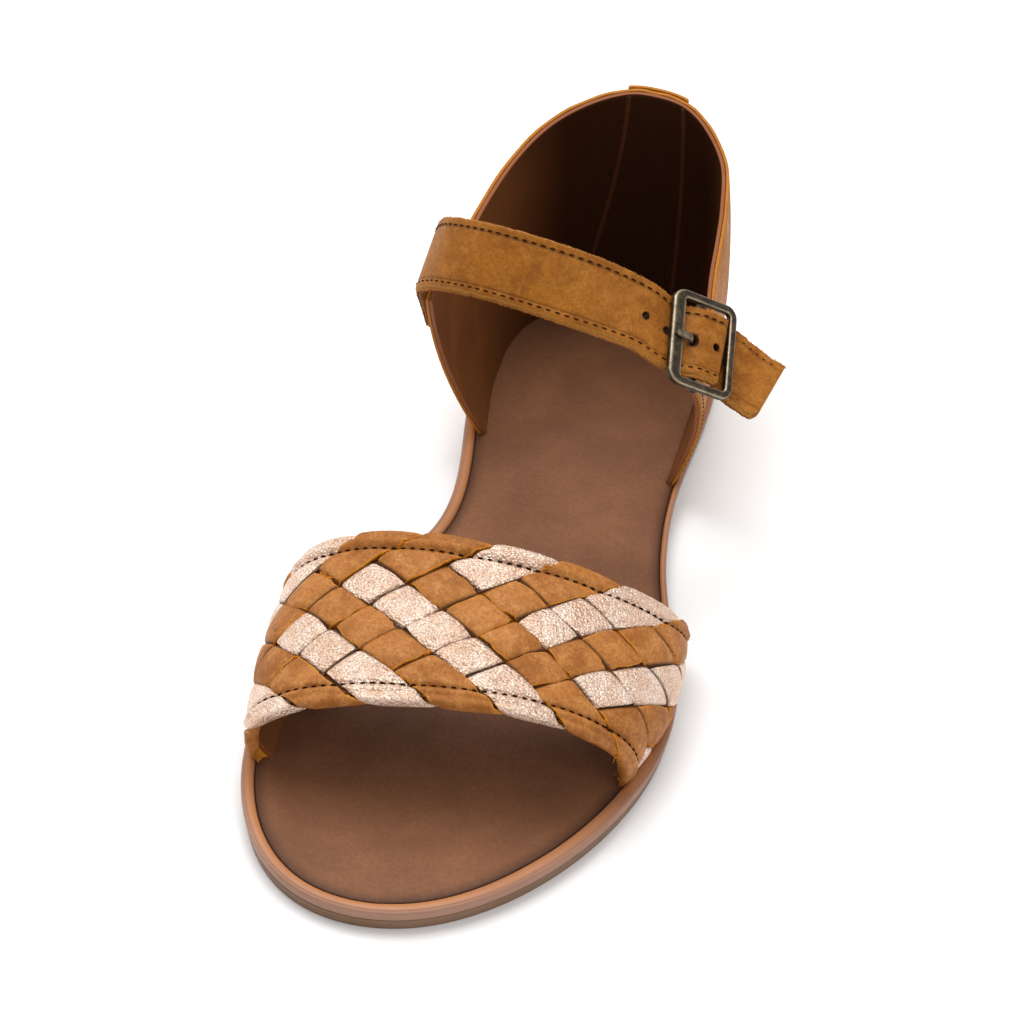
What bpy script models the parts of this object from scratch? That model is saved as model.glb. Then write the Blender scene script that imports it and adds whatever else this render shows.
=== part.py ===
"""Flat open-toe sandal for the left foot, standing empty on its sole.

A braided vamp band crosses the forefoot, one hollow heel counter wraps the heel and carries
an arm up each side, and an ankle strap leaves the medial arm, crosses the instep and closes
in a buckle on the lateral arm.

Frame: toe towards -Y, heel towards +Y, lateral side +X, medial side -X, up +Z, floor at z = 0.
Sizes below are in millimetres; MM turns them into metres when a mesh is made.
"""

import math

import bmesh
import bpy
from mathutils import Matrix, Vector

MM = 0.001
GAP = 0.3                      # clearance between pieces that touch
CENTRE = Vector((5.85, 0, 0))   # middle of the sandal's box, moved onto the origin

# ---- sole ----------------------------------------------------------------------------------
OUTSOLE_TOP = 3.6
OUTSOLE_TUCK = 0.9             # how far the tread's edge sits inside the side wall
SIDE_TOP = 5.7                 # where the midsole's side turns into its rounded rim
RIM_TOP = 7.2
# Width of the rim round the insole: the same along the medial side, and by y along the lateral.
MEDIAL_RIM = 3.4
LATERAL_RIM = [(-128, 3.5), (-100, 4.1), (-66, 4.1), (-40, 2.7), (-15, 1.8), (50, 1.8), (80, 2.6),
               (110, 3.4), (128, 3.4)]
TRAY_FLOOR = 4.9               # midsole floor under the insole
INSOLE_TOP = 6.5
LOOP_POINTS = 120

# Control points of the outline, a closed uniform B-spline, from the heel round the lateral
# side to the toe and back along the medial side.
OUTLINE = [
    (-18, 126), (11, 130), (31, 116), (36, 85), (33, 45), (40, 5), (57, -31), (55, -67),
    (39, -102), (14, -126), (-15, -130), (-36, -115), (-48, -85), (-48, -49), (-40, -19),
    (-23, 5), (-25, 34), (-35, 70), (-35, 105),
]

# ---- upper ---------------------------------------------------------------------------------
WALL_BASE = INSOLE_TOP + GAP   # the upper stands on the insole's edge

# Vamp band: its front and back edges, each an arch across the forefoot.
# medial_y, lateral_y: where the arch meets the sole; rise: its height over the base;
# lean, lean_side: how far the crown leans to the toe, and how that changes to the side;
# square: how boxy each shoulder is; bulge: how far each side swells; tilt: crown's side slope.
BAND_FRONT = dict(medial_y=-88, lateral_y=-66, rise=34.2, lean=-7.5, lean_side=-0.5,
                  square_medial=2.6, square_lateral=2.4, bulge_medial=3.2, bulge_lateral=3.0,
                  tilt=0.0)
BAND_BACK = dict(medial_y=-43, lateral_y=-13, rise=43.2, lean=-11.5, lean_side=-9.0,
                 square_medial=3.1, square_lateral=2.2, bulge_medial=8.0, bulge_lateral=7.6,
                 tilt=-0.06)
BAND_WALL = 2.8                # two layers of strip and a lining
BAND_ROWS, BAND_COLUMNS = 9, 41

# Heel counter, from the medial front edge round the heel to the lateral front edge.
# Columns: base x, base y | belly x, belly y, belly z | top x, top y, top z
COUNTER_RIBS = [
    (-25.4, 50, -34.2, 34, 46, -35.4, 24, 72),
    (-27.7, 60, -35.5, 47, 42, -34.5, 38, 83),
    (-29.5, 70, -36.0, 58, 40, -36.0, 52, 65),
    (-30.4, 80, -36.2, 72, 40, -35.5, 67, 69),
    (-30.4, 92, -34.5, 88, 42, -32.0, 86, 74.7),
    (-27.3, 104.6, -30.6, 105, 42, -26.0, 101, 79.5),
    (-18.9, 116.3, -21.0, 118.0, 42, -17.0, 111, 83.5),
    (-7.9, 122.4, -8.0, 124.0, 42, -6.5, 117.6, 85.8),
    (2.0, 123.6, 2.5, 125.0, 42, 3.0, 118.6, 86.5),
    (12.0, 122.1, 13.0, 123.6, 42, 12.0, 117.6, 85.5),
    (20.5, 117, 22.0, 118.5, 42, 20.0, 113, 82.5),
    (27.2, 106, 29.6, 107, 42, 27.2, 104.5, 77.5),
    (30.9, 92, 33.8, 92, 42, 30.8, 91, 73.2),
    (31.8, 80, 35.4, 79, 42, 32.5, 80, 70),
    (32.2, 70, 36.4, 68, 42, 34.0, 68, 66.5),
    (32.5, 61, 37.6, 58, 38, 36.2, 57, 62.6),
    (32.6, 55, 38.8, 48, 40, 38.6, 45, 64),
    (32.6, 51, 39.4, 42, 41, 37.6, 31, 76.5),
    (32.7, 48, 39.8, 38, 42, 36.6, 18, 70),
]
COUNTER_WALL = 2.2
COUNTER_STEPS, COUNTER_ROWS = 4, 9

STRIP_CENTRE, STRIP_SPREAD = 8.0, 0.92   # back strip: middle and half width, in ribs
STRIP_WALL = 1.3
STRIP_GAP = 0.4                # both faces are flat between their rows, so a little over GAP
STRIP_RISE = 0.2               # how far it stands above the topline

# ---- ankle strap ---------------------------------------------------------------------------
# From its end on the medial arm over the instep, through the buckle, to its free tip.
# Columns: middle of the outer face x, y, z | direction across, towards the upper edge x, y, z
STRAP_ROWS = [
    (-39.4, 40.2, 61.0, 0.05, 0.89, 0.45),
    (-39.3, 36.0, 69.5, 0.08, 0.88, 0.47),
    (-38.4, 32.0, 76.5, 0.08, 0.86, 0.50),
    (-36.6, 28.0, 82.7, 0.04, 0.82, 0.57),
    (-33.6, 24.0, 88.0, -0.02, 0.75, 0.66),
    (-28.8, 19.6, 92.4, -0.04, 0.67, 0.74),
    (-19.4, 14.9, 96.6, 0.00, 0.62, 0.78),
    (-9.9, 12.6, 98.0, 0.04, 0.61, 0.79),
    (-0.5, 11.7, 97.9, 0.07, 0.65, 0.76),
    (8.0, 12.0, 96.6, 0.08, 0.73, 0.68),
    (16.0, 13.3, 94.3, 0.04, 0.82, 0.57),
    (25.0, 15.6, 90.2, -0.03, 0.89, 0.45),
    (33.0, 17.0, 84.6, -0.17, 0.88, 0.45),
    (39.4, 20.2, 80.3, -0.19, 0.87, 0.46),
    (45.8, 23.3, 75.8, -0.10, 0.90, 0.42),
    (52.6, 22.9, 71.8, 0.10, 0.95, 0.28),
    (59.2, 22.2, 69.4, 0.18, 0.95, 0.21),
]
STRAP_WIDTH = 19.8
STRAP_WALL = 2.2
STRAP_STEPS = 4                # stations between two rows
TIP_CORNER = 2.0
BUCKLE_ROW = 13                # the row at the buckle's middle
HOLE_PITCH = 6.9
HOLE_RADIUS = 0.95
PRONG_HOLE = -3.9              # along the strap from the buckle's middle
PRONG_HOLE_RADIUS = 1.65
WEAVE_RISE = 3.0               # how far the strap climbs over the centre bar

# ---- buckle --------------------------------------------------------------------------------
# Local frame: x along the strap, y across it, z out of its face, origin in the frame's middle.
BUCKLE_ALONG = Vector((0.76, 0.42, -0.49))
BUCKLE_ACROSS = Vector((-0.19, 0.87, 0.46))
BUCKLE_LIFT = 1.55             # frame's middle above the strap's outer face at the end bars
BUCKLE_LENGTH = 19.2
BUCKLE_WIDTH = 26.0
BUCKLE_BAR = 1.9
BUCKLE_FLAT = 3.6              # width of the front bar, on which the prong rests
BUCKLE_CORNER = 3.4            # outer corner radius
CENTRE_BAR_DROP = 3.4
CENTRE_BAR = 1.8
PRONG_WALL, PRONG_WIDTH = 1.1, 2.0
# Prong beyond its curl: through the strap and onto the front bar. Columns: x, z
PRONG_SHANK = [(-2.4, -3.0), (-3.1, -1.6), (-3.9, -0.1), (-4.6, 1.1), (-5.8, 1.75), (-7.4, 1.85),
               (-9.7, 1.8)]

# ---- tab that ties the centre bar to the lateral arm ----------------------------------------
TAB_WALL = 1.1
TAB_GAP = 0.4                  # from the bar and from the arm's faces
TAB_WIDTH = 13.0
TAB_RIBS = (17.88, 17.12)      # its two edges on the arm, in ribs
TAB_LEG = (0.85, 0.90, 0.95, 1.0, 1.03)     # its rows on the arm, as shares of a rib
TAB_SLOT = 3.0                 # slot that lets the prong's curl through

COLOURS = {                    # base colour, metallic, roughness
    "outsole_rubber": ((0.125, 0.075, 0.036), 0.0, 0.62),
    "midsole_rubber": ((0.60, 0.33, 0.20), 0.0, 0.5),
    "insole_leather": ((0.20, 0.098, 0.058), 0.0, 0.55),
    "braid_leather": ((0.50, 0.27, 0.14), 0.0, 0.5),
    "tan_leather": ((0.50, 0.22, 0.07), 0.0, 0.55),
    "antique_brass": ((0.24, 0.20, 0.15), 1.0, 0.38),
}


# ---- curves --------------------------------------------------------------------------------
def spline_loop(control, count):
    """Evenly spaced points on the closed uniform cubic B-spline of the control points."""
    size = len(control)
    dense = []
    for i in range(size):
        a, b, c, d = (Vector(control[(i + k) % size]) for k in range(4))
        for j in range(24):
            t = j / 24
            dense.append((a * (1 - t) ** 3 + b * (3 * t ** 3 - 6 * t ** 2 + 4)
                          + c * (-3 * t ** 3 + 3 * t ** 2 + 3 * t + 1) + d * t ** 3) / 6)
    lengths = [0.0]
    for p, q in zip(dense, dense[1:] + dense[:1]):
        lengths.append(lengths[-1] + (q - p).length)
    dense.append(dense[0])
    points, k = [], 0
    for i in range(count):
        goal = lengths[-1] * i / count
        while lengths[k + 1] < goal:
            k += 1
        share = (goal - lengths[k]) / (lengths[k + 1] - lengths[k])
        points.append(dense[k].lerp(dense[k + 1], share))
    return points


def inset_loop(loop, distances):
    """The clockwise-from-above loop moved inward, each point by its own distance."""
    moved = []
    for i, (p, distance) in enumerate(zip(loop, distances)):
        along = (loop[(i + 1) % len(loop)] - loop[i - 1]).normalized()
        moved.append(p + Vector((along.y, -along.x)) * distance)
    return moved


def through(rows, place):
    """Catmull-Rom value between table rows, at a place counted in rows."""
    i = min(int(place), len(rows) - 2)
    t = place - i
    b, c = rows[i], rows[i + 1]
    a = rows[i - 1] if i > 0 else [2 * p - q for p, q in zip(b, c)]
    d = rows[i + 2] if i + 2 < len(rows) else [2 * p - q for p, q in zip(c, b)]
    return [0.5 * (2 * q + (r - p) * t + (2 * p - 5 * q + 4 * r - s) * t * t
                   + (3 * q - p - 3 * r + s) * t ** 3) for p, q, r, s in zip(a, b, c, d)]


def rim_width(point):
    """Width of the rim at a point of the outline."""
    if point.x < 4:
        return MEDIAL_RIM
    for (y0, w0), (y1, w1) in zip(LATERAL_RIM, LATERAL_RIM[1:]):
        if point.y <= y1:
            share = max(0.0, (point.y - y0) / (y1 - y0))
            return w0 + (w1 - w0) * share * share * (3 - 2 * share)
    return MEDIAL_RIM


def side_x(loop, y, side):
    """The outline's x at a given y, on the medial (-1) or lateral (+1) side."""
    found = []
    for p, q in zip(loop, loop[1:] + loop[:1]):
        if (p.y - y) * (q.y - y) <= 0 and p.y != q.y:
            found.append(p.x + (q.x - p.x) * (y - p.y) / (q.y - p.y))
    return min(found) if side < 0 else max(found)


# ---- solids --------------------------------------------------------------------------------
def make_material(name):
    colour, metallic, roughness = COLOURS[name]
    material = bpy.data.materials.new(name)
    material.use_nodes = True
    surface = material.node_tree.nodes["Principled BSDF"]
    surface.inputs["Base Color"].default_value = (*colour, 1)
    surface.inputs["Metallic"].default_value = metallic
    surface.inputs["Roughness"].default_value = roughness
    material.diffuse_color = (*colour, 1)
    return material


def make_object(name, points, faces, material, smooth_angle=40):
    """A mesh object from points in millimetres, its faces turned outward."""
    mesh = bpy.data.meshes.new(name)
    mesh.from_pydata([(Vector(p) - CENTRE) * MM for p in points], [], faces)
    work = bmesh.new()
    work.from_mesh(mesh)
    bmesh.ops.recalc_face_normals(work, faces=work.faces)
    work.to_mesh(mesh)
    work.free()
    mesh.materials.append(material)
    mesh.shade_smooth()
    mesh.set_sharp_from_angle(angle=math.radians(smooth_angle))
    result = bpy.data.objects.new(name, mesh)
    bpy.context.collection.objects.link(result)
    return result


def stack(name, rings, material):
    """A solid from rings of points, bottom to top, closed by flat caps."""
    count = len(rings[0])
    points = [p for ring in rings for p in ring]
    faces = [list(range(count))[::-1], list(range(len(points) - count, len(points)))]
    for r in range(len(rings) - 1):
        for i in range(count):
            j = (i + 1) % count
            faces.append([r * count + i, r * count + j, (r + 1) * count + j, (r + 1) * count + i])
    return make_object(name, points, faces, material)


def grid_normals(grid):
    """Unit normals of a grid of points, rows crossed with columns."""
    rows, columns = len(grid), len(grid[0])
    normals = []
    for r in range(rows):
        line = []
        for c in range(columns):
            up = grid[min(r + 1, rows - 1)][c] - grid[max(r - 1, 0)][c]
            along = grid[r][min(c + 1, columns - 1)] - grid[r][max(c - 1, 0)]
            line.append(along.cross(up).normalized())
        normals.append(line)
    return normals


def moved_grid(grid, distance, flat=()):
    """The grid moved along its normals; the named border lines keep their height."""
    normals = grid_normals(grid)
    last_column = len(grid[0]) - 1
    moved = []
    for r, line in enumerate(grid):
        new = []
        for c, p in enumerate(line):
            n = normals[r][c].copy()
            level = (("first_row" in flat and r == 0) or ("first_column" in flat and c == 0)
                     or ("last_column" in flat and c == last_column))
            if level:
                n.z = 0
                n.normalize()
            new.append(p + n * distance)
        moved.append(new)
    return moved


def shell(name, outer, inner, material):
    """A closed wall between two grids of the same size."""
    rows, columns = len(outer), len(outer[0])
    size = rows * columns
    points = [p for grid in (outer, inner) for line in grid for p in line]
    faces = []
    for r in range(rows - 1):
        for c in range(columns - 1):
            a = r * columns + c
            quad = [a, a + 1, a + columns + 1, a + columns]
            faces.append(quad)
            faces.append([size + i for i in reversed(quad)])
    border = [c for c in range(columns)]
    border += [r * columns + columns - 1 for r in range(1, rows)]
    border += [(rows - 1) * columns + c for c in reversed(range(columns - 1))]
    border += [r * columns for r in reversed(range(1, rows - 1))]
    for a, b in zip(border, border[1:] + border[:1]):
        faces.append([b, a, size + a, size + b])
    return make_object(name, points, faces, material)


def sweep(name, path, section, material, closed=False):
    """A solid along a path of (point, side, up) frames, with a section of (side, up) offsets."""
    count = len(section(0))
    points = []
    for i, (p, side, up) in enumerate(path):
        points += [p + side * a + up * b for a, b in section(i)]
    faces = []
    steps = len(path) if closed else len(path) - 1
    for i in range(steps):
        k = (i + 1) % len(path)
        for j in range(count):
            m = (j + 1) % count
            faces.append([i * count + j, i * count + m, k * count + m, k * count + j])
    if not closed:
        faces.append(list(range(count)))
        faces.append(list(range(len(points) - count, len(points))))
    return make_object(name, points, faces, material)


def apply_boolean(target, other, operation):
    """Joins or cuts with a helper that stays out of the model."""
    other.hide_render = True
    other.display_type = "WIRE"
    modifier = target.modifiers.new(operation.title(), "BOOLEAN")
    modifier.operation = operation
    modifier.solver = "EXACT"
    modifier.object = other


# ---- sole ----------------------------------------------------------------------------------
def build_sole(loop):
    rims = [rim_width(p) for p in loop]

    def ring(z, inset, rim_share=0.0):
        return [(*p, z) for p in inset_loop(loop, [inset + rim_share * w for w in rims])]

    stack("outsole", [
        ring(0, OUTSOLE_TUCK),
        ring(OUTSOLE_TOP * 0.5, OUTSOLE_TUCK * 0.6),
        ring(OUTSOLE_TOP, OUTSOLE_TUCK * 0.4),
    ], make_material("outsole_rubber"))
    stack("midsole", [
        ring(OUTSOLE_TOP + GAP, OUTSOLE_TUCK * 0.4),
        ring(SIDE_TOP, 0),
        ring(RIM_TOP - 0.35, 0, 0.15),
        ring(RIM_TOP, 0, 0.45),
        ring(RIM_TOP - 0.2, 0, 0.8),
        ring(RIM_TOP - 0.9, 0, 1),
        ring(TRAY_FLOOR, 0, 1),
    ], make_material("midsole_rubber"))
    stack("insole", [
        ring(TRAY_FLOOR + GAP, GAP, 1),
        ring(INSOLE_TOP, GAP, 1),
    ], make_material("insole_leather"))


# ---- vamp band -----------------------------------------------------------------------------
def band_arch(loop, share, count):
    """One arch of the band's outer face; share 0 is its front edge and 1 its back edge."""
    now = {key: BAND_FRONT[key] + (BAND_BACK[key] - BAND_FRONT[key]) * share
           for key in BAND_FRONT}
    medial = Vector((side_x(loop, now["medial_y"], -1), now["medial_y"]))
    lateral = Vector((side_x(loop, now["lateral_y"], 1), now["lateral_y"]))
    medial.x += rim_width(medial) + GAP
    lateral.x -= rim_width(lateral) + GAP
    points = []
    for i in range(count):
        angle = math.pi * i / (count - 1)
        cosine, sine = -math.cos(angle), math.sin(angle)
        blend = 0.5 + 0.5 * cosine
        power = 2 / (now["square_medial"] * (1 - blend) + now["square_lateral"] * blend)
        across = math.copysign(abs(cosine) ** power, cosine)
        height = abs(sine) ** power
        bulge = now["bulge_medial"] if cosine < 0 else now["bulge_lateral"]
        swell = bulge * math.sin(min(height, 1) ** 0.8 * math.pi) * min(1, 1.2 * abs(across))
        base = medial.lerp(lateral, 0.5 + 0.5 * across)
        points.append(Vector((
            base.x + math.copysign(swell, across),
            base.y + (now["lean"] + now["lean_side"] * across) * height,
            WALL_BASE + now["rise"] * height * (1 + now["tilt"] * across),
        )))
    points[0].z = WALL_BASE
    points[-1].z = WALL_BASE
    return points


def build_band(loop):
    outer = [band_arch(loop, r / (BAND_ROWS - 1), BAND_COLUMNS) for r in range(BAND_ROWS)]
    inner = moved_grid(outer, -BAND_WALL, ("first_column", "last_column"))
    shell("vamp_band", outer, inner, make_material("braid_leather"))


# ---- heel counter --------------------------------------------------------------------------
def counter_point(place, share):
    """The counter's outer face: place in ribs, share 0 at the base and 1 at the top edge."""
    bx, by, mx, my, mz, tx, ty, tz = through(COUNTER_RIBS, place)
    base = Vector((bx, by, WALL_BASE))
    belly = Vector((mx, my, mz))
    top = Vector((tx, ty, tz))
    low, high = (belly - base).length, (top - belly).length
    knot = low / (low + high)
    a = (share - knot) * (share - 1) / knot
    b = share * (share - 1) / (knot * (knot - 1))
    c = share * (share - knot) / (1 - knot)
    return base * a + belly * b + top * c


def counter_offset(place, share, distance):
    """A point off the counter's outer face, along its outward normal."""
    step = 0.02
    along = counter_point(place + step, share) - counter_point(place - step, share)
    up = counter_point(place, share + step) - counter_point(place, share - step)
    return counter_point(place, share) + up.cross(along).normalized() * distance


def build_counter():
    places = [i / COUNTER_STEPS for i in range((len(COUNTER_RIBS) - 1) * COUNTER_STEPS + 1)]
    outer = [[counter_point(place, r / (COUNTER_ROWS - 1)) for place in places]
             for r in range(COUNTER_ROWS)]
    inner = moved_grid(outer, COUNTER_WALL, ("first_row",))
    shell("heel_counter", outer, inner, make_material("tan_leather"))


def build_back_strip():
    """An overlay up the middle of the heel, proud of the counter and its topline."""
    outer, inner = [], []
    rows = 11
    for r in range(rows):
        places = [STRIP_CENTRE + STRIP_SPREAD * (c / 3 - 1) for c in range(7)]
        share = 0.02 + 0.98 * r / (rows - 1)
        near = [counter_offset(place, share, STRIP_GAP) for place in places]
        far = [counter_offset(place, share, STRIP_GAP + STRIP_WALL) for place in places]
        if r == rows - 1:
            for line in (near, far):
                for p in line:
                    p.z += STRIP_RISE
        inner.append(near)
        outer.append(far)
    shell("back_strip", outer, inner, bpy.data.materials["tan_leather"])


# ---- ankle strap ---------------------------------------------------------------------------
def strap_stations():
    """Frames along the strap: (distance from the buckle's middle, point, along, across, out)."""
    count = (len(STRAP_ROWS) - 1) * STRAP_STEPS + 1
    values = [through(STRAP_ROWS, i / STRAP_STEPS) for i in range(count)]
    points = [Vector(v[:3]) for v in values]
    distances = [0.0]
    for p, q in zip(points, points[1:]):
        distances.append(distances[-1] + (q - p).length)
    middle = distances[BUCKLE_ROW * STRAP_STEPS]
    stations = []
    for i, value in enumerate(values):
        along = (points[min(i + 1, count - 1)] - points[max(i - 1, 0)]).normalized()
        across = Vector(value[3:])
        across = (across - along * across.dot(along)).normalized()
        stations.append((distances[i] - middle, points[i], along, across, along.cross(across)))
    return stations


def strap_rise(distance):
    """Height of the strap over its plain run where it climbs over the centre bar."""
    reach = (BUCKLE_LENGTH - BUCKLE_BAR) / 2
    if abs(distance) >= reach:
        return 0.0
    return WEAVE_RISE * math.cos(math.pi * distance / (2 * reach)) ** 2


def build_strap(stations):
    outer, inner = [], []
    for r, place in enumerate((-1, -0.34, 0.34, 1)):
        top, bottom = [], []
        for distance, point, along, across, out in stations:
            p = point + across * (place * STRAP_WIDTH / 2) + out * strap_rise(distance)
            top.append(p)
            bottom.append(p - out * STRAP_WALL)
        if r == 0:
            along = stations[-1][2]
            top[-1] -= along * TIP_CORNER
            bottom[-1] -= along * TIP_CORNER
        outer.append(top)
        inner.append(bottom)
    strap = shell("ankle_strap", outer, inner, bpy.data.materials["tan_leather"])
    points, faces = [], []
    sides = 12
    for step, radius in ((-2, HOLE_RADIUS), (-1, HOLE_RADIUS), (0, PRONG_HOLE_RADIUS),
                         (1, HOLE_RADIUS)):
        goal = PRONG_HOLE + step * HOLE_PITCH
        k = max(i for i, station in enumerate(stations) if station[0] <= goal)
        near, far = stations[k], stations[k + 1]
        share = (goal - near[0]) / (far[0] - near[0])
        middle = near[1].lerp(far[1], share) + near[4] * strap_rise(goal)
        out = near[4].lerp(far[4], share).normalized()
        across = near[3]
        along = across.cross(out)
        start = len(points)
        for height in (-STRAP_WALL - 3, 3):
            for j in range(sides):
                angle = 2 * math.pi * j / sides
                points.append(middle + out * height + along * (radius * math.cos(angle))
                              + across * (radius * math.sin(angle)))
        faces.append([start + j for j in range(sides)])
        faces.append([start + sides + j for j in range(sides)])
        for j in range(sides):
            m = (j + 1) % sides
            faces.append([start + j, start + m, start + sides + m, start + sides + j])
    punch = make_object("hole_punch", points, faces, bpy.data.materials["tan_leather"])
    apply_boolean(strap, punch, "DIFFERENCE")


# ---- buckle --------------------------------------------------------------------------------
def buckle_axes():
    """The buckle's frame as a matrix from its local millimetres to the sandal's."""
    along = BUCKLE_ALONG.normalized()
    across = (BUCKLE_ACROSS - along * BUCKLE_ACROSS.dot(along)).normalized()
    out = along.cross(across)
    middle = Vector(STRAP_ROWS[BUCKLE_ROW][:3]) + out * BUCKLE_LIFT
    matrix = Matrix.Identity(4)
    for i, axis in enumerate((along, across, out)):
        matrix.col[i] = (*axis, 0)
    matrix.col[3] = (*middle, 1)
    return matrix


def placed(matrix, frames):
    """Frames moved from the buckle's local frame into the sandal's."""
    turn = matrix.to_3x3()
    return [(matrix @ Vector(p), turn @ Vector(a), turn @ Vector(b)) for p, a, b in frames]


def oval(width, height, sides=8):
    """A rounded-box section, wider than an ellipse of the same size."""
    points = []
    for i in range(sides):
        angle = 2 * math.pi * (i + 0.5) / sides
        x, y = math.cos(angle), math.sin(angle)
        points.append((math.copysign(abs(x) ** 0.75, x) * width / 2,
                       math.copysign(abs(y) ** 0.75, y) * height / 2))
    return points


def build_buckle(matrix):
    brass = make_material("antique_brass")
    half_x = (BUCKLE_LENGTH - BUCKLE_BAR) / 2
    half_y = (BUCKLE_WIDTH - BUCKLE_BAR) / 2
    radius = BUCKLE_CORNER - BUCKLE_BAR / 2
    frames, widths = [], []
    corners = ((half_x, half_y, 0), (-half_x, half_y, 90), (-half_x, -half_y, 180),
               (half_x, -half_y, 270))
    for cx, cy, start in corners:
        for i in range(6):
            angle = math.radians(start + 18 * i)
            side = (math.cos(angle), math.sin(angle), 0)
            x = cx - math.copysign(radius, cx) + radius * side[0]
            y = cy - math.copysign(radius, cy) + radius * side[1]
            frames.append(((x, y, 0), side, (0, 0, 1)))
            front = max(0.0, -side[0]) ** 2
            widths.append(BUCKLE_BAR + (BUCKLE_FLAT - BUCKLE_BAR) * front)
    body = sweep("buckle_frame", placed(matrix, frames),
                 lambda i: oval(widths[i], BUCKLE_BAR), brass, closed=True)
    drop = CENTRE_BAR_DROP
    bend = 1.0
    turn = [(half_y - 0.2, 0.2), (half_y - 0.2, -drop + bend)]
    turn += [(half_y - 0.2 - bend * (1 - math.cos(a)), -drop + bend - bend * math.sin(a))
             for a in (math.radians(30), math.radians(60), math.radians(90))]
    route = [(y, z) for y, z in turn] + [(-y, z) for y, z in reversed(turn)]
    frames = []
    for i, (y, z) in enumerate(route):
        before = route[max(i - 1, 0)]
        after = route[min(i + 1, len(route) - 1)]
        tangent = Vector((0, after[0] - before[0], after[1] - before[1])).normalized()
        frames.append(((0, y, z), (1, 0, 0), tangent.cross(Vector((1, 0, 0)))))
    bar = sweep("centre_bar_tool", placed(matrix, frames),
                lambda i: oval(CENTRE_BAR, CENTRE_BAR), brass)
    apply_boolean(body, bar, "UNION")


def build_prong(matrix):
    """A curl round the centre bar, then a shank through the strap onto the front bar."""
    radius = CENTRE_BAR / 2 + GAP + PRONG_WALL / 2
    route = []
    for i in range(16):
        angle = math.radians(115 - 265 * i / 15)
        route.append((radius * math.cos(angle), -CENTRE_BAR_DROP + radius * math.sin(angle)))
    rows = [route[-1]] + PRONG_SHANK
    route += [tuple(through(rows, i / 3)) for i in range(1, (len(rows) - 1) * 3 + 1)]
    frames = []
    for i, (x, z) in enumerate(route):
        before = route[max(i - 1, 0)]
        after = route[min(i + 1, len(route) - 1)]
        tangent = Vector((after[0] - before[0], 0, after[1] - before[1])).normalized()
        frames.append(((x, 0, z), (0, 1, 0), tangent.cross(Vector((0, 1, 0)))))
    sweep("buckle_prong", placed(matrix, frames), lambda i: oval(PRONG_WIDTH, PRONG_WALL, 6),
          bpy.data.materials["antique_brass"])


def build_tab(matrix):
    """A folded leather tab: one leg on each face of the lateral arm, its loop round the bar."""
    bar = matrix @ Vector((0, 0, -CENTRE_BAR_DROP))
    axis = matrix.to_3x3() @ Vector((0, 1, 0))
    columns = 5
    outside = TAB_GAP + TAB_WALL / 2
    inside = -COUNTER_WALL - outside
    radius = CENTRE_BAR / 2 + outside
    arm = counter_point(sum(TAB_RIBS) / 2, 1.0) - bar
    down = (arm - axis * arm.dot(axis)).normalized()
    out = down.cross(axis)
    grid = []
    for share in TAB_LEG:
        grid.append([counter_offset(TAB_RIBS[0] + (TAB_RIBS[1] - TAB_RIBS[0]) * c / (columns - 1),
                                    share, outside) for c in range(columns)])
    for i in range(9):
        angle = math.pi * i / 8
        around = out * math.cos(angle) - down * math.sin(angle)
        grid.append([bar + around * radius + axis * (TAB_WIDTH * (c / (columns - 1) - 0.5))
                     for c in range(columns)])
    for share in reversed(TAB_LEG):
        grid.append([counter_offset(TAB_RIBS[0] + (TAB_RIBS[1] - TAB_RIBS[0]) * c / (columns - 1),
                                    share, inside) for c in range(columns)])
    leather = bpy.data.materials["tan_leather"]
    tab = shell("buckle_tab", moved_grid(grid, TAB_WALL / 2), moved_grid(grid, -TAB_WALL / 2),
                leather)
    half = TAB_SLOT / 2
    points = []
    for a in (-4, 4):
        for b in (-half, half):
            for c in (-4, 3.4):
                points.append(bar + out * a + axis * b + down * c)
    faces = [(0, 1, 3, 2), (4, 6, 7, 5), (0, 4, 5, 1), (2, 3, 7, 6), (0, 2, 6, 4), (1, 5, 7, 3)]
    slot = make_object("tab_slot", points, faces, leather)
    apply_boolean(tab, slot, "DIFFERENCE")


def main():
    for item in list(bpy.data.objects):
        bpy.data.objects.remove(item, do_unlink=True)
    loop = spline_loop(OUTLINE, LOOP_POINTS)
    build_sole(loop)
    build_band(loop)
    build_counter()
    build_back_strip()
    stations = strap_stations()
    build_strap(stations)
    matrix = buckle_axes()
    build_buckle(matrix)
    build_prong(matrix)
    build_tab(matrix)


main()
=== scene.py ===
"""Looks of the flat open-toe sandal: its braided band, heel counter, ankle strap, buckle and sole.

Lengths are in millimetres in the sandal's own frame: toe towards -Y, lateral side +X, up +Z.
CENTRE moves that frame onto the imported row's, and MM turns it into metres.
"""
import math

import bmesh
import bpy
import numpy as np
from mathutils import Matrix, Vector, kdtree


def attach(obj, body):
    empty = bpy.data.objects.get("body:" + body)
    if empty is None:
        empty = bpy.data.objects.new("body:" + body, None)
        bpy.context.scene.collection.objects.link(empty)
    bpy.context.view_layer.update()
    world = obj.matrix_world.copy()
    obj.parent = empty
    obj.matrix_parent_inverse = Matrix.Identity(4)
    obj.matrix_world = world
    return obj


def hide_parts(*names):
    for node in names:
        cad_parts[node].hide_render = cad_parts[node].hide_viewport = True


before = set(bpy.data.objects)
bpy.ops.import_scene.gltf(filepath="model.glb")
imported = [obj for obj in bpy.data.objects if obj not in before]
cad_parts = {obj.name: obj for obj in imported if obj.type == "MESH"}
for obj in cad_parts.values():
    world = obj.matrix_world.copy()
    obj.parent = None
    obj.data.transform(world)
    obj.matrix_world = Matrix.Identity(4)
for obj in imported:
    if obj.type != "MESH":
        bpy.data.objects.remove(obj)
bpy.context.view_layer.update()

MM = 0.001
GAP = 0.3                      # between two solids that meet
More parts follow.
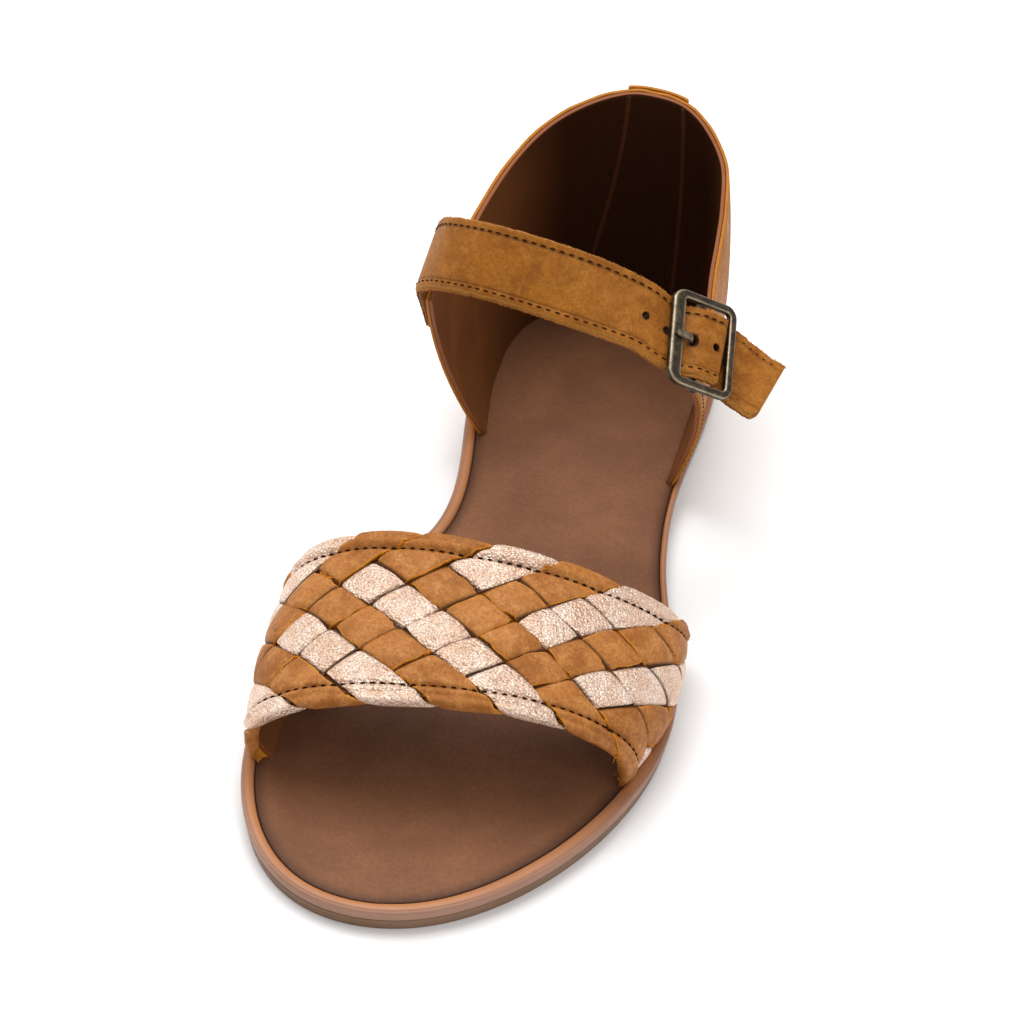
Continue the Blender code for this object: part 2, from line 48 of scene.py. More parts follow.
CENTRE = np.array((5.85, 0.0, 0.0))
ROOT = "root"
SHARP_ANGLE = 38               # degrees between faces from which an edge is shaded sharp

# ---- sole -------------------------------------------------------------------------------------
OUTSOLE_TOP = 3.6
OUTSOLE_TUCK = 0.9
# Width of the rim: even on the medial side, by y on the lateral side.
MEDIAL_RIM = 3.4
LATERAL_RIM = [(-128, 3.5), (-100, 4.1), (-66, 4.1), (-40, 2.7), (-15, 1.8), (50, 1.8), (80, 2.6),
               (110, 3.4), (128, 3.4)]
INSOLE_TOP = 6.5
LOOP_POINTS = 480
# Control points of the outline's spline, clockwise from above.
OUTLINE = [
    (-18, 126), (11, 130), (31, 116), (36, 85), (33, 45), (40, 5), (57, -31), (55, -67),
    (39, -102), (14, -126), (-15, -130), (-36, -115), (-48, -85), (-48, -49), (-40, -19),
    (-23, 5), (-25, 34), (-35, 70), (-35, 105),
]

# ---- vamp band --------------------------------------------------------------------------------
WALL_BASE = INSOLE_TOP + GAP
# The arch of the band at its front and back edge: where its feet stand, how high it rises, how
# far it leans along the foot and tilts, and how square and how full its two sides are.
BAND_FRONT = dict(medial_y=-88, lateral_y=-66, rise=34.2, lean=-7.5, lean_side=-0.5,
                  square_medial=2.6, square_lateral=2.4, bulge_medial=3.2, bulge_lateral=3.0,
                  tilt=0.0)
BAND_BACK = dict(medial_y=-43, lateral_y=-13, rise=43.2, lean=-11.5, lean_side=-9.0,
                 square_medial=3.1, square_lateral=2.2, bulge_medial=8.0, bulge_lateral=7.6,
                 tilt=-0.06)
BAND_SHARES = 57               # rows of the sampled surface
BAND_STEPS = 401               # points along each row
ARCH_POINTS = 801              # points of an arch before they are spaced evenly

# Braid: seven strips in plain weave. A strips run from the back edge to the front edge as they
# cross to the lateral side and fold under there, B strips run from front to back and fold under
# at the back edge. Both are numbered from the medial side.
STRIPS = 7
STRIPS_ASIDE = STRIPS // 2     # strips on each side of the middle one
STRIP_THICK = 1.2
TAN_FILL = (0.87, 0.985)       # width of a strip as a share of the pitch, at crossings and between
GOLD_FILL = (0.88, 1.0)
STRIP_LOWEST = -0.92           # lowest middle of a strip under the plane of the braid
STRIP_CROWN = 0.32             # how far a strip bulges between two crossings
STRIP_PLANE = -1.25            # where over and under strips meet, below the outer face
# Places across one crossing at which a strip has rows, closest where it dives.
STRIP_CELL = [-0.5, -0.465, -0.425, -0.37, -0.28, -0.15, 0.0, 0.15, 0.28, 0.37, 0.425, 0.465]
# Places from a strip's middle to its side, closest at the cut edge.
STRIP_SIDE = [0.0, 0.15, 0.30, 0.45, 0.59, 0.72, 0.83, 0.91, 0.965, 1.0]
FOLD_RADIUS = 1.9
FOLD_END = 0.075               # how far a fold rolls under, as a share of the band
FOLD_ZONE = 0.13               # share of the band in which a strip gets ready to fold
FOLD_LIP = 0.023               # how far each fold stands out, most towards its lateral end
FOLD_BACK = 0.009
FOLD_PUFF = 0.75
FOLD_TILT = 0.32               # how far a strip tips sideways as it nears its fold
STITCH_DIP = 0.75              # how far the sewn lines pull the strips down
STITCH_DIP_WIDTH = 0.60
LOOPS_GOLD = {0, 2, 4}         # which strips of every seven are rose gold, counted from A strip -1
# Share of the arch's length reached at each step along the braid, from step -3.
BRAID_PLACE = [-0.09, -0.03, 0.035, 0.10, 0.165, 0.228, 0.283, 0.338, 0.398, 0.457, 0.517, 0.574,
               0.629, 0.685, 0.746, 0.815, 0.895, 0.975, 1.055, 1.135]
BRAID_FIRST = -3
# How far a place moves along the arch from the front edge to the back: at step 0, and per step.
BRAID_SKEW = (0.019, -0.0074)
BAND_STITCH_INSET = 3.1
BAND_STITCH_PITCH = 2.5
BAND_LINING = (2.12, 2.86)     # depths of the lining's two faces under the band's outer face

# ---- heel counter -----------------------------------------------------------------------------
# Ribs from the medial arm round the heel to the lateral arm: x and y at the base, then x, y and z
# at the belly and at the top edge.
COUNTER_RIBS = [
    (-25.4, 50, -34.2, 34, 46, -35.4, 24, 72),
    (-27.7, 60, -35.5, 47, 42, -34.5, 38, 83),
    (-29.5, 70, -36.0, 58, 40, -36.0, 52, 65),
    (-30.4, 80, -36.2, 72, 40, -35.5, 67, 69),
    (-30.4, 92, -34.5, 88, 42, -32.0, 86, 74.7),
    (-27.3, 104.6, -30.6, 105, 42, -26.0, 101, 79.5),
    (-18.9, 116.3, -21.0, 118.0, 42, -17.0, 111, 83.5),
    (-7.9, 122.4, -8.0, 124.0, 42, -6.5, 117.6, 85.8),
    (2.0, 123.6, 2.5, 125.0, 42, 3.0, 118.6, 86.5),
    (12.0, 122.1, 13.0, 123.6, 42, 12.0, 117.6, 85.5),
    (20.5, 117, 22.0, 118.5, 42, 20.0, 113, 82.5),
    (27.2, 106, 29.6, 107, 42, 27.2, 104.5, 77.5),
    (30.9, 92, 33.8, 92, 42, 30.8, 91, 73.2),
    (31.8, 80, 35.4, 79, 42, 32.5, 80, 70),
    (32.2, 70, 36.4, 68, 42, 34.0, 68, 66.5),
    (32.5, 61, 37.6, 58, 38, 36.2, 57, 62.6),
    (32.6, 55, 38.8, 48, 40, 38.6, 45, 64),
    (32.6, 51, 39.4, 42, 41, 37.6, 31, 76.5),
    (32.7, 48, 39.8, 38, 42, 36.6, 18, 70),
]
COUNTER_LAST = len(COUNTER_RIBS) - 1
COUNTER_OUTER = 0.95           # thickness of the tan layer
COUNTER_LINING = 1.2
COUNTER_WALL = 2.2             # the CAD wall
COUNTER_SIZE = (240.0, 70.0)   # about how long and how high its wall is
COUNTER_RIB_STEP = 12.0        # about how far apart the ribs are
COUNTER_SEWING = dict(share=0.62, radius=0.25, sag=0.28)
# Rows of stitches up the ends of its arms: place in ribs and share of the height reached.
ARM_SEWING = [(0.22, 0.62), (COUNTER_LAST - 0.26, 0.985)]
# The back strip: its middle and half width in ribs.
BACK_STRIP_RIB, BACK_STRIP_HALF = 8.0, 0.92
BACK_STRIP_SIZE = (18.0, 75.0)  # about how wide and how high it is
BACK_STRIP_RIB_STEP = 9.8      # about how far apart the ribs are under it
BACK_STRIP_SHOWN = 0.9         # its thickness
BACK_STRIP_RISE = 0.35         # how far its top stands over the counter's edge
# Two seams run up the lining at the back of the heel, each this far sideways and inward.
SEAM_SECTION = [(0.75, -0.1), (0.5, 0.18), (0.16, 0.30), (-0.16, 0.30), (-0.5, 0.18),
                (-0.75, -0.1)]

# ---- ankle strap ------------------------------------------------------------------------------
# Rows from the strap's sewn end to its free tip: x, y and z, and its direction across.
STRAP_ROWS = [
    (-39.4, 40.2, 61.0, 0.05, 0.89, 0.45),
    (-39.3, 36.0, 69.5, 0.08, 0.88, 0.47),
    (-38.4, 32.0, 76.5, 0.08, 0.86, 0.50),
    (-36.6, 28.0, 82.7, 0.04, 0.82, 0.57),
    (-33.6, 24.0, 88.0, -0.02, 0.75, 0.66),
    (-28.8, 19.6, 92.4, -0.04, 0.67, 0.74),
    (-19.4, 14.9, 96.6, 0.00, 0.62, 0.78),
    (-9.9, 12.6, 98.0, 0.04, 0.61, 0.79),
    (-0.5, 11.7, 97.9, 0.07, 0.65, 0.76),
    (8.0, 12.0, 96.6, 0.08, 0.73, 0.68),
    (16.0, 13.3, 94.3, 0.04, 0.82, 0.57),
    (25.0, 15.6, 90.2, -0.03, 0.89, 0.45),
    (33.0, 17.0, 84.6, -0.17, 0.88, 0.45),
    (39.4, 20.2, 80.3, -0.19, 0.87, 0.46),
    (45.8, 23.3, 75.8, -0.10, 0.90, 0.42),
    (52.6, 22.9, 71.8, 0.10, 0.95, 0.28),
    (59.2, 22.2, 69.4, 0.18, 0.95, 0.21),
]
STRAP_WIDTH = 19.8
STRAP_OUTER = 1.15             # thickness of the tan layer
STRAP_LINING = 1.05
STRAP_STEPS = 4                # stations from one of its rows to the next
STRAP_FINE = 0.8               # spacing of the mesh's rows
LAP_FLAT, LAP_END = 18.0, 32.0  # the sewn end lies flat on the arm, then leaves it
LAP_STITCHES = (2.2, 15.5)     # cross rows of the sewn end, from the strap's start
TIP_CORNER = 2.0               # how far the free tip's lower corner is cut back
BUCKLE_ROW = 13                # the strap's row at the buckle's middle
HOLE_PITCH = 6.9
HOLE_RADIUS = 1.02
HOLE_SIDES = 20
PRONG_HOLE = -3.9              # from the buckle's middle, along the strap
PRONG_HOLE_RADIUS = 1.65
WEAVE_RISE = 3.0               # how far the strap rises over the centre bar
STITCH_INSET = 2.4
STITCH_PITCH = 2.5
# Place along a stitch, height over its middle and thickness of its thread, as shares.
STITCH_SHAPE = [(0.0, -0.45, 0.75), (0.06, -0.05, 0.95), (0.25, 0.12, 1.0), (0.5, 0.15, 1.0),
                (0.75, 0.12, 1.0), (0.94, -0.05, 0.95), (1.0, -0.45, 0.75)]

# ---- buckle -----------------------------------------------------------------------------------
BUCKLE_ALONG = Vector((0.76, 0.42, -0.49))
BUCKLE_ACROSS = Vector((-0.19, 0.87, 0.46))
BUCKLE_LIFT = 1.55             # height of its frame over the strap's line
BUCKLE_LENGTH = 19.2
BUCKLE_WIDTH = 26.0
BUCKLE_BAR = 1.9
BUCKLE_FLAT = 3.6              # width of the front bar
BUCKLE_CORNER = 3.4
BUCKLE_REACH = (BUCKLE_LENGTH - BUCKLE_BAR) / 2
CENTRE_BAR_DROP = 3.4          # how far it lies below the frame
CENTRE_BAR = 1.8
PRONG_WALL, PRONG_WIDTH = 1.1, 2.0
PRONG_TIP = (1.0, 0.92, 0.78, 0.55)  # widths of its last stations, as shares
# The shank's route from the curl to the tip: distance along the strap and height.
PRONG_SHANK = [(-2.4, -3.0), (-3.1, -1.6), (-3.9, -0.1), (-4.6, 1.1), (-5.8, 1.75), (-7.4, 1.85),
               (-9.7, 1.8)]
TAB_WALL = 1.1
TAB_GAP = 0.4                  # between the tab and the arm or the bar
TAB_WIDTH = 13.0
TAB_RIBS = (17.88, 17.12)      # its sides, in the counter's ribs
TAB_LEG = (0.85, 0.90, 0.95, 1.0, 1.03)  # heights of a leg's rows on the arm, as shares
TAB_SLOT = 3.0                 # width of the slot for the prong
TAB_SLOT_ROWS = (4.6, 12.4)    # the rows round the bar between which the slot lies
TAB_COLUMNS = 15

# ---- camera -----------------------------------------------------------------------------------
# Places in metres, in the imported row's frame.
CAMERA_PLACE = (0.13055, -0.57643, 0.56811)
CAMERA_TARGET = (-0.00421, -0.01369, 0.040)
CAMERA_ROLL = 4.47             # degrees
CAMERA_LENS = 106.0

# ---- stage ------------------------------------------------------------------------------------
FLOOR_HALF = 1.1               # metres
FLOOR_GLOW = (0.45, 0.95, 0.0, 0.35)  # from and to these distances, glow from 0 to 0.35
WORLD_LIGHT = 0.50
# Name, place, size in metres and power of each light.
SOFTBOXES = [
    ("softbox_top", (-0.25, 0.30, 1.25), (1.1, 0.9), 16.0),
    ("softbox_left", (-1.15, 0.15, 0.75), (0.7, 0.9), 3.0),
    ("softbox_right", (0.95, -0.45, 0.95), (1.3, 1.3), 6.0),
]
LIGHT_TARGET = (0.0, 0.0, 0.03)


# ==== curves ===================================================================================
def spline_loop(control, count):
    """Evenly spaced points on the closed uniform cubic B-spline of the control points."""
    control = np.array(control, float)
    t = np.arange(24)[:, None] / 24
    dense = []
    for i in range(len(control)):
        a, b, c, d = (control[(i + k) % len(control)] for k in range(4))
        dense.append((a * (1 - t) ** 3 + b * (3 * t ** 3 - 6 * t ** 2 + 4)
                      + c * (-3 * t ** 3 + 3 * t ** 2 + 3 * t + 1) + d * t ** 3) / 6)
    dense = np.concatenate(dense)
    dense = np.vstack([dense, dense[:1]])
    lengths = np.concatenate([[0], np.cumsum(np.linalg.norm(np.diff(dense, axis=0), axis=1))])
    goals = np.arange(count) * lengths[-1] / count
    return np.stack([np.interp(goals, lengths, dense[:, k]) for k in (0, 1)], 1)


def rim_width(x, y):
    """Width of the rim at a point of the outline."""
    if x < 4:
        return MEDIAL_RIM
    for (y0, w0), (y1, w1) in zip(LATERAL_RIM, LATERAL_RIM[1:]):
        if y <= y1:
            share = max(0.0, (y - y0) / (y1 - y0))
            return w0 + (w1 - w0) * share * share * (3 - 2 * share)
    return MEDIAL_RIM


def inset_loop(loop, distances):
    """The clockwise-from-above loop moved inward, each point by its own distance."""
    along = np.roll(loop, -1, 0) - np.roll(loop, 1, 0)
    along /= np.linalg.norm(along, axis=1)[:, None]
    inward = np.stack([along[:, 1], -along[:, 0]], 1)
    return loop + inward * np.asarray(distances)[:, None]


def side_x(loop, y, side):
    """The outline's x at a given y, on the medial (-1) or lateral (+1) side."""
    found = []
    for p, q in zip(loop, np.roll(loop, -1, 0)):
        if (p[1] - y) * (q[1] - y) <= 0 and p[1] != q[1]:
            found.append(p[0] + (q[0] - p[0]) * (y - p[1]) / (q[1] - p[1]))
    return min(found) if side < 0 else max(found)


def through(rows, place):
    """Catmull-Rom value between table rows, at a place counted in rows; place may be an array."""
    rows = np.array(rows, float)
    place = np.asarray(place, float)
    i = np.clip(place.astype(int), 0, len(rows) - 2)
    t = (place - i)[..., None]
    first = 2 * rows[0] - rows[1]
    last = 2 * rows[-1] - rows[-2]
    padded = np.vstack([first, rows, last])
    p, q, r, s = padded[i], padded[i + 1], padded[i + 2], padded[i + 3]
    return 0.5 * (2 * q + (r - p) * t + (2 * p - 5 * q + 4 * r - s) * t * t
                  + (3 * q - p - 3 * r + s) * t ** 3)


def unit(vectors):
    """The vectors, each at length one."""
    return vectors / np.maximum(np.linalg.norm(vectors, axis=-1, keepdims=True), 1e-9)


def smooth(share):
    """A share held to 0 and 1, with a soft start and end."""
    share = np.clip(share, 0, 1)
    return share * share * (3 - 2 * share)


# ==== meshes ===================================================================================
def to_row(points):
    """Points in the sandal's millimetres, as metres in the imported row's frame."""
    return (points - CENTRE) * MM


def linked(name, data):
    """A new object with this data, in the scene."""
    thing = bpy.data.objects.new(name, data)
    bpy.context.scene.collection.objects.link(thing)
    return thing


def axes_matrix(axes, place):
    """The matrix that takes local coordinates to these three axes and this place."""
    matrix = Matrix.Identity(4)
    for i, axis in enumerate(axes):
        matrix.col[i] = (*axis, 0)
    matrix.col[3] = (*place, 1)
    return matrix


class Build:
    """Points, faces and two marks for one mesh: edge on cut edges, and painted shade in creases."""

    def __init__(self):
        self.points, self.faces, self.edge, self.deep, self.count = [], [], [], [], 0

    def add(self, points, faces, edge=0.0, deep=0.0):
        """Points with their marks, and faces that count from the first of them."""
        points = np.asarray(points, float).reshape(-1, 3)
        self.points.append(points)
        self.faces += [tuple(int(i) + self.count for i in face) for face in faces]
        for store, mark in ((self.edge, edge), (self.deep, deep)):
            store.append(np.broadcast_to(np.asarray(mark, float).ravel(), (len(points),)))
        self.count += len(points)

    def grid(self, grid, edge=0.0, deep=0.0, flip=False):
        """A grid of points as quads."""
        rows, columns = grid.shape[:2]
        index = np.arange(rows * columns).reshape(rows, columns)
        quads = np.stack([index[:-1, :-1], index[:-1, 1:], index[1:, 1:], index[1:, :-1]], -1)
        quads = quads.reshape(-1, 4)
        if flip:
            quads = quads[:, ::-1]
        self.add(grid.reshape(-1, 3), quads, edge, deep)

    def slab(self, top, bottom, bulge=0.0, worn=0.0, deep=0.0):
        """A closed sheet between two grids, with its cut edge as its own rounded strip."""
        self.grid(top, worn, deep)
        self.grid(bottom, flip=True)

        def border(grid):
            return np.concatenate([grid[0, :-1], grid[:-1, -1], grid[-1, :0:-1], grid[:0:-1, 0]])
        high, low = border(top), border(bottom)
        middle = (high + low) / 2
        along = unit(np.roll(middle, -1, 0) - np.roll(middle, 1, 0))
        out = unit(np.cross(along, unit(high - low)))
        inner = np.concatenate([top[1, :-1], top[:-1, -2], top[-2, :0:-1], top[:0:-1, 1]])
        if ((middle - inner) * out).sum() < 0:
            out = -out
        middle = middle + out * bulge
        count = len(high)
        points = np.concatenate([high, middle, low])
        faces = []
        for i in range(count):
            j = (i + 1) % count
            faces.append((j, i, count + i, count + j))
            faces.append((count + j, count + i, 2 * count + i, 2 * count + j))
        self.add(points, faces, 1.0)

    def tube(self, path, sides, ups, section, closed=False, edge=0.0):
        """A closed section swept along a path; section(i) gives its (side, up) offsets."""
        path, sides, ups = (np.asarray(v, float) for v in (path, sides, ups))
        rings = [path[i] + np.outer(s[:, 0], sides[i]) + np.outer(s[:, 1], ups[i])
                 for i, s in ((i, np.asarray(section(i), float)) for i in range(len(path)))]
        count = len(rings[0])
        faces = []
        steps = len(rings) if closed else len(rings) - 1
        for i in range(steps):
            k = (i + 1) % len(rings)
            for j in range(count):
                m = (j + 1) % count
                faces.append((i * count + j, i * count + m, k * count + m, k * count + j))
        if not closed:
            faces.append(tuple(range(count)))
            faces.append(tuple(range(len(rings) * count - 1, (len(rings) - 1) * count - 1, -1)))
        self.add(np.concatenate(rings), faces, edge)

    def mesh(self, name):
        """What was gathered as one mesh, its faces turned outward."""
        mesh = bpy.data.meshes.new(name)
        mesh.from_pydata(to_row(np.concatenate(self.points)).tolist(), [], self.faces)
        work = bmesh.new()
        work.from_mesh(mesh)
        bmesh.ops.recalc_face_normals(work, faces=work.faces)
        work.to_mesh(mesh)
        work.free()
        return mesh

    def make(self, name, material, slot, node, angle=SHARP_ANGLE):
        """The finished piece: on the root body, standing for its CAD node."""
        mesh = self.mesh(name)
        for key, values in (("edge", self.edge), ("deep", self.deep)):
            mark = mesh.attributes.new(key, "FLOAT", "POINT")
            mark.data.foreach_set("value", np.concatenate(values).astype(np.float32))
        mesh.materials.append(material)
        mesh.shade_smooth()
        mesh.set_sharp_from_angle(angle=math.radians(angle))
        piece = linked(name, mesh)
        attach(piece, ROOT)
        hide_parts(node)
        return piece


def stitch(build, start, end, out, radius, sag):
    """One stitch: a short thread that rises from its hole, lies on the leather and dives back."""
    start, end, out = (np.asarray(v, float) for v in (start, end, out))
    along = unit(end - start)
    side = unit(np.cross(along, out))
    length = np.linalg.norm(end - start)
    path = [start + along * length * share + out * (height - sag + radius * 0.5)
            for share, height, _ in STITCH_SHAPE]
    ring = np.array([(math.cos(a), math.sin(a)) for a in np.linspace(0, 2 * math.pi, 7)[:-1]])
    build.tube(path, [side] * len(path), [out] * len(path),
               lambda i: ring * (STITCH_SHAPE[i][2] * radius))


def stitch_line(build, points, outs, pitch, share, radius, sag=0.15):
    """Stitches along a dense line of surface points, each a share of the pitch long."""
    points, outs = np.asarray(points, float), np.asarray(outs, float)
    lengths = np.concatenate([[0], np.cumsum(np.linalg.norm(np.diff(points, axis=0), axis=1))])
    count = max(1, int(round(lengths[-1] / pitch)))
    step = lengths[-1] / count

    def at(values, goal):
        return np.array([np.interp(goal, lengths, values[:, k]) for k in range(3)])
    for i in range(count):
        low, high = (i + 0.5 - share / 2) * step, (i + 0.5 + share / 2) * step
        stitch(build, at(points, low), at(points, high), unit(at(outs, (low + high) / 2)),
               radius, sag)


def fibres(build, points, outs, sides, count, seed, length, radius):
    """Short loose fibres along a cut edge, each a thin curved thread that leans its own way."""
    chance = np.random.default_rng(seed)
    points, outs, sides = (np.asarray(v, float) for v in (points, outs, sides))
    along = unit(np.gradient(points, axis=0))
    triangle = np.array([(1, 0), (-0.5, 0.87), (-0.5, -0.87)])
    for _ in range(count):
        i = chance.integers(0, len(points))
        lean = unit(sides[i] + outs[i] * chance.normal(0, 0.5)
                    + along[i] * chance.normal(0, 0.9))
        curl = unit(outs[i] * chance.normal(0, 1) + along[i] * chance.normal(0, 1))
        reach = length * chance.uniform(0.35, 1.0)
        steps = np.linspace(0, 1, 4)[:, None]
        start = points[i] - outs[i] * chance.uniform(0.1, 0.9) - sides[i] * 0.15
        path = start + lean * reach * steps + curl * reach * 0.5 * steps ** 2
        side = unit(np.cross(lean, curl))
        up = np.cross(side, lean)
        build.tube(path, [side] * 4, [up] * 4,
                   lambda k: triangle * radius * (1, 0.85, 0.6, 0.25)[k], edge=1.0)


# ==== materials ================================================================================
class Nodes:
    """A node material with short calls for its nodes."""

    def __init__(self, name):
        self.material = bpy.data.materials.new(name)
        self.material.use_nodes = True
        self.tree = self.material.node_tree
        self.shader = self.tree.nodes["Principled BSDF"]
        self.place = self.new("ShaderNodeTexCoord").outputs["Object"]

    def new(self, kind, **values):
        """A node of this kind with these settings."""
        node = self.tree.nodes.new(kind)
        for key, value in values.items():
            setattr(node, key, value)
        return node

    def link(self, a, b):
        """Joins an output to an input."""
        self.tree.links.new(a, b)

    def put(self, socket, value):
        """Feeds an input with another node's output or with a plain value."""
        if isinstance(value, bpy.types.NodeSocket):
            self.link(value, socket)
        else:
            socket.default_value = value

    def scaled(self, factors):
        """The place in the sandal, stretched along its axes, for streaks."""
        node = self.new("ShaderNodeMapping")
        self.link(self.place, node.inputs["Vector"])
        node.inputs["Scale"].default_value = factors
        return node.outputs["Vector"]

    def noise(self, scale, detail, roughness, place=None, distortion=0.0):
        """Cloudy noise from 0 to 1."""
        node = self.new("ShaderNodeTexNoise")
        self.link(place or self.place, node.inputs["Vector"])
        node.inputs["Scale"].default_value = scale
        node.inputs["Detail"].default_value = detail
        node.inputs["Roughness"].default_value = roughness
        node.inputs["Distortion"].default_value = distortion
        return node.outputs["Fac"]

    def cells(self, scale, feature, smoothness=None):
        """Distances in a pattern of cells, for pebbles and pores."""
        node = self.new("ShaderNodeTexVoronoi", feature=feature)
        self.link(self.place, node.inputs["Vector"])
        node.inputs["Scale"].default_value = scale
        if smoothness is not None:
            node.inputs["Smoothness"].default_value = smoothness
        return node.outputs["Distance"]

    def remap(self, value, low, high, to_low=0.0, to_high=1.0):
        """A value from low to high turned softly into one from to_low to to_high."""
        node = self.new("ShaderNodeMapRange", interpolation_type="SMOOTHSTEP")
        self.put(node.inputs["Value"], value)
        for key, number in (("From Min", low), ("From Max", high), ("To Min", to_low),
                            ("To Max", to_high)):
            node.inputs[key].default_value = number
        return node.outputs["Result"]

    def math(self, operation, a, b=0.0):
        """A sum, product or the like of two values."""
        node = self.new("ShaderNodeMath", operation=operation)
        self.put(node.inputs[0], a)
        self.put(node.inputs[1], b)
        return node.outputs["Value"]

    def mix(self, share, a, b):
        """Two colours mixed, with this share of the second."""
        node = self.new("ShaderNodeMix", data_type="RGBA")
        self.put(node.inputs["Factor"], share)
        for key, value in (("A", a), ("B", b)):
            socket = [s for s in node.inputs if s.name == key and s.type == "RGBA"][0]
            self.put(socket, value if isinstance(value, bpy.types.NodeSocket) else (*value, 1))
        return [s for s in node.outputs if s.type == "RGBA"][0]

    def tint(self, colour, value, span, shares, other):
        """The colour mixed with another, by a share that follows a value across its span."""
        return self.mix(self.remap(value, *span, *shares), colour, other)

    def mark(self, name="edge"):
        """A mark of the mesh: its cut edge, or its painted shade."""
        node = self.new("ShaderNodeAttribute", attribute_name=name)
        return node.outputs["Fac"]

    def axis(self, name):
        """One coordinate of the place in the sandal."""
        node = self.new("ShaderNodeSeparateXYZ")
        self.link(self.place, node.inputs["Vector"])
        return node.outputs[name]

    def relief(self, *layers):
        """Bumps on top of one another, each given as (height, distance, strength)."""
        normal = None
        for height, distance, strength in layers:
            node = self.new("ShaderNodeBump")
            node.inputs["Strength"].default_value = strength
            node.inputs["Distance"].default_value = distance
            self.link(height, node.inputs["Height"])
            if normal is not None:
                self.link(normal, node.inputs["Normal"])
            normal = node.outputs["Normal"]
        return normal

    def finish(self, colour, roughness, normal, **constants):
        """The material, once its shader has these inputs."""
        self.put(self.shader.inputs["Base Color"], colour)
        self.put(self.shader.inputs["Roughness"], roughness)
        if normal is not None:
            self.link(normal, self.shader.inputs["Normal"])
        for key, value in constants.items():
            self.shader.inputs[key].default_value = value
        return self.material


def dimmed(colour, share):
    """The colour with this share of its light."""
    return tuple(share * c for c in colour)


def tan_leather(name, dark, base, light, edge, contrast=0.18, crease=0.0, sheen=0.20):
    """Waxed pull-up leather: cloudy tone, fine grain, faint scuffs, raw orange cut edges."""
    n = Nodes(name)
    cloud = n.noise(60, 4, 0.6, distortion=0.6)
    patch = n.noise(230, 3, 0.6)
    grain = n.noise(1500, 3, 0.6)
    pores = n.cells(1900, "SMOOTH_F1", smoothness=0.6)
    mottle = n.noise(760, 4, 0.7, distortion=0.8)
    scuff = n.noise(90, 5, 0.7, place=n.scaled((1.0, 6.0, 2.0)))
    wrinkle = n.noise(330, 5, 0.65, distortion=2.2)
    fuzz = n.noise(2600, 2, 0.7)
    colour = n.mix(n.remap(cloud, 0.5 - contrast, 0.5 + contrast), dark, base)
    colour = n.tint(colour, patch, (0.42, 0.70), (0.0, 0.6), light)
    colour = n.tint(colour, scuff, (0.56, 0.76), (0.0, 0.4), light)
    colour = n.tint(colour, mottle, (0.36, 0.52), (0.5, 0.0), dark)
    colour = n.tint(colour, mottle, (0.52, 0.70), (0.0, 0.35), light)
    colour = n.tint(colour, grain, (0.35, 0.62), (0.32, 0.0), dimmed(dark, 0.5))
    colour = n.tint(colour, wrinkle, (0.30, 0.46), (0.35 * min(1, 2 * crease), 0.0),
                    dimmed(dark, 0.45))
    raw = n.mix(n.remap(fuzz, 0.35, 0.7), dimmed(edge, 0.62), edge)
    colour = n.tint(colour, n.mark(), (0.3, 0.9), (0.0, 1.0), raw)
    # Painted shade where the mesh marks it: creases between strips, sewn grooves, hole walls and
    # bends.
    colour = n.tint(colour, n.mark("deep"), (0.0, 1.0), (0.0, 0.92), dimmed(dark, 0.14))
    rough = n.remap(cloud, 0.3, 0.7, 0.60, 0.48)
    rough = n.math("ADD", rough, n.remap(grain, 0.3, 0.7, 0.08, -0.04))
    layers = [(grain, 0.00014, 0.5), (mottle, 0.0002, 0.35), (pores, 0.00008, 0.35),
              (patch, 0.0004, 0.3)]
    if crease:
        layers.append((wrinkle, 0.0006, crease))
    return n.finish(colour, rough, n.relief(*layers), **{"Specular IOR Level": sheen})


def gold_leather():
    """Metallic rose-gold leather: bright worn pebbles with darker rose-brown creases."""
    n = Nodes("rose_gold_leather")
    pebble = n.cells(1300, "SMOOTH_F1", smoothness=0.3)
    crease = n.cells(1300, "DISTANCE_TO_EDGE")
    wrinkle = n.noise(430, 5, 0.7, distortion=2.6)
    cloud = n.noise(150, 4, 0.65, distortion=0.5)
    fine = n.noise(3000, 2, 0.6)
    colour = n.mix(n.remap(cloud, 0.35, 0.65), (0.86, 0.60, 0.45), (1.0, 0.82, 0.69))
    colour = n.tint(colour, crease, (0.0, 0.13), (0.75, 0.0), (0.42, 0.23, 0.14))
    colour = n.tint(colour, wrinkle, (0.36, 0.45), (0.6, 0.0), (0.40, 0.21, 0.125))
    raw = n.mix(n.remap(fine, 0.3, 0.7), (0.30, 0.16, 0.08), (0.60, 0.40, 0.27))
    marked = n.remap(n.mark(), 0.3, 0.9)
    colour = n.mix(marked, colour, raw)
    # Painted shade where a strip dives under its neighbours and in the sewn grooves.
    colour = n.tint(colour, n.mark("deep"), (0.0, 1.0), (0.0, 0.9), (0.055, 0.022, 0.009))
    rough = n.remap(pebble, 0.1, 0.7, 0.26, 0.50)
    metal = n.remap(marked, 0.0, 1.0, 0.80, 0.0)
    n.link(metal, n.shader.inputs["Metallic"])
    normal = n.relief((n.math("SUBTRACT", 1.0, pebble), 0.0006, 0.85), (wrinkle, 0.0009, 0.5),
                      (fine, 0.0001, 0.3))
    return n.finish(colour, rough, normal)


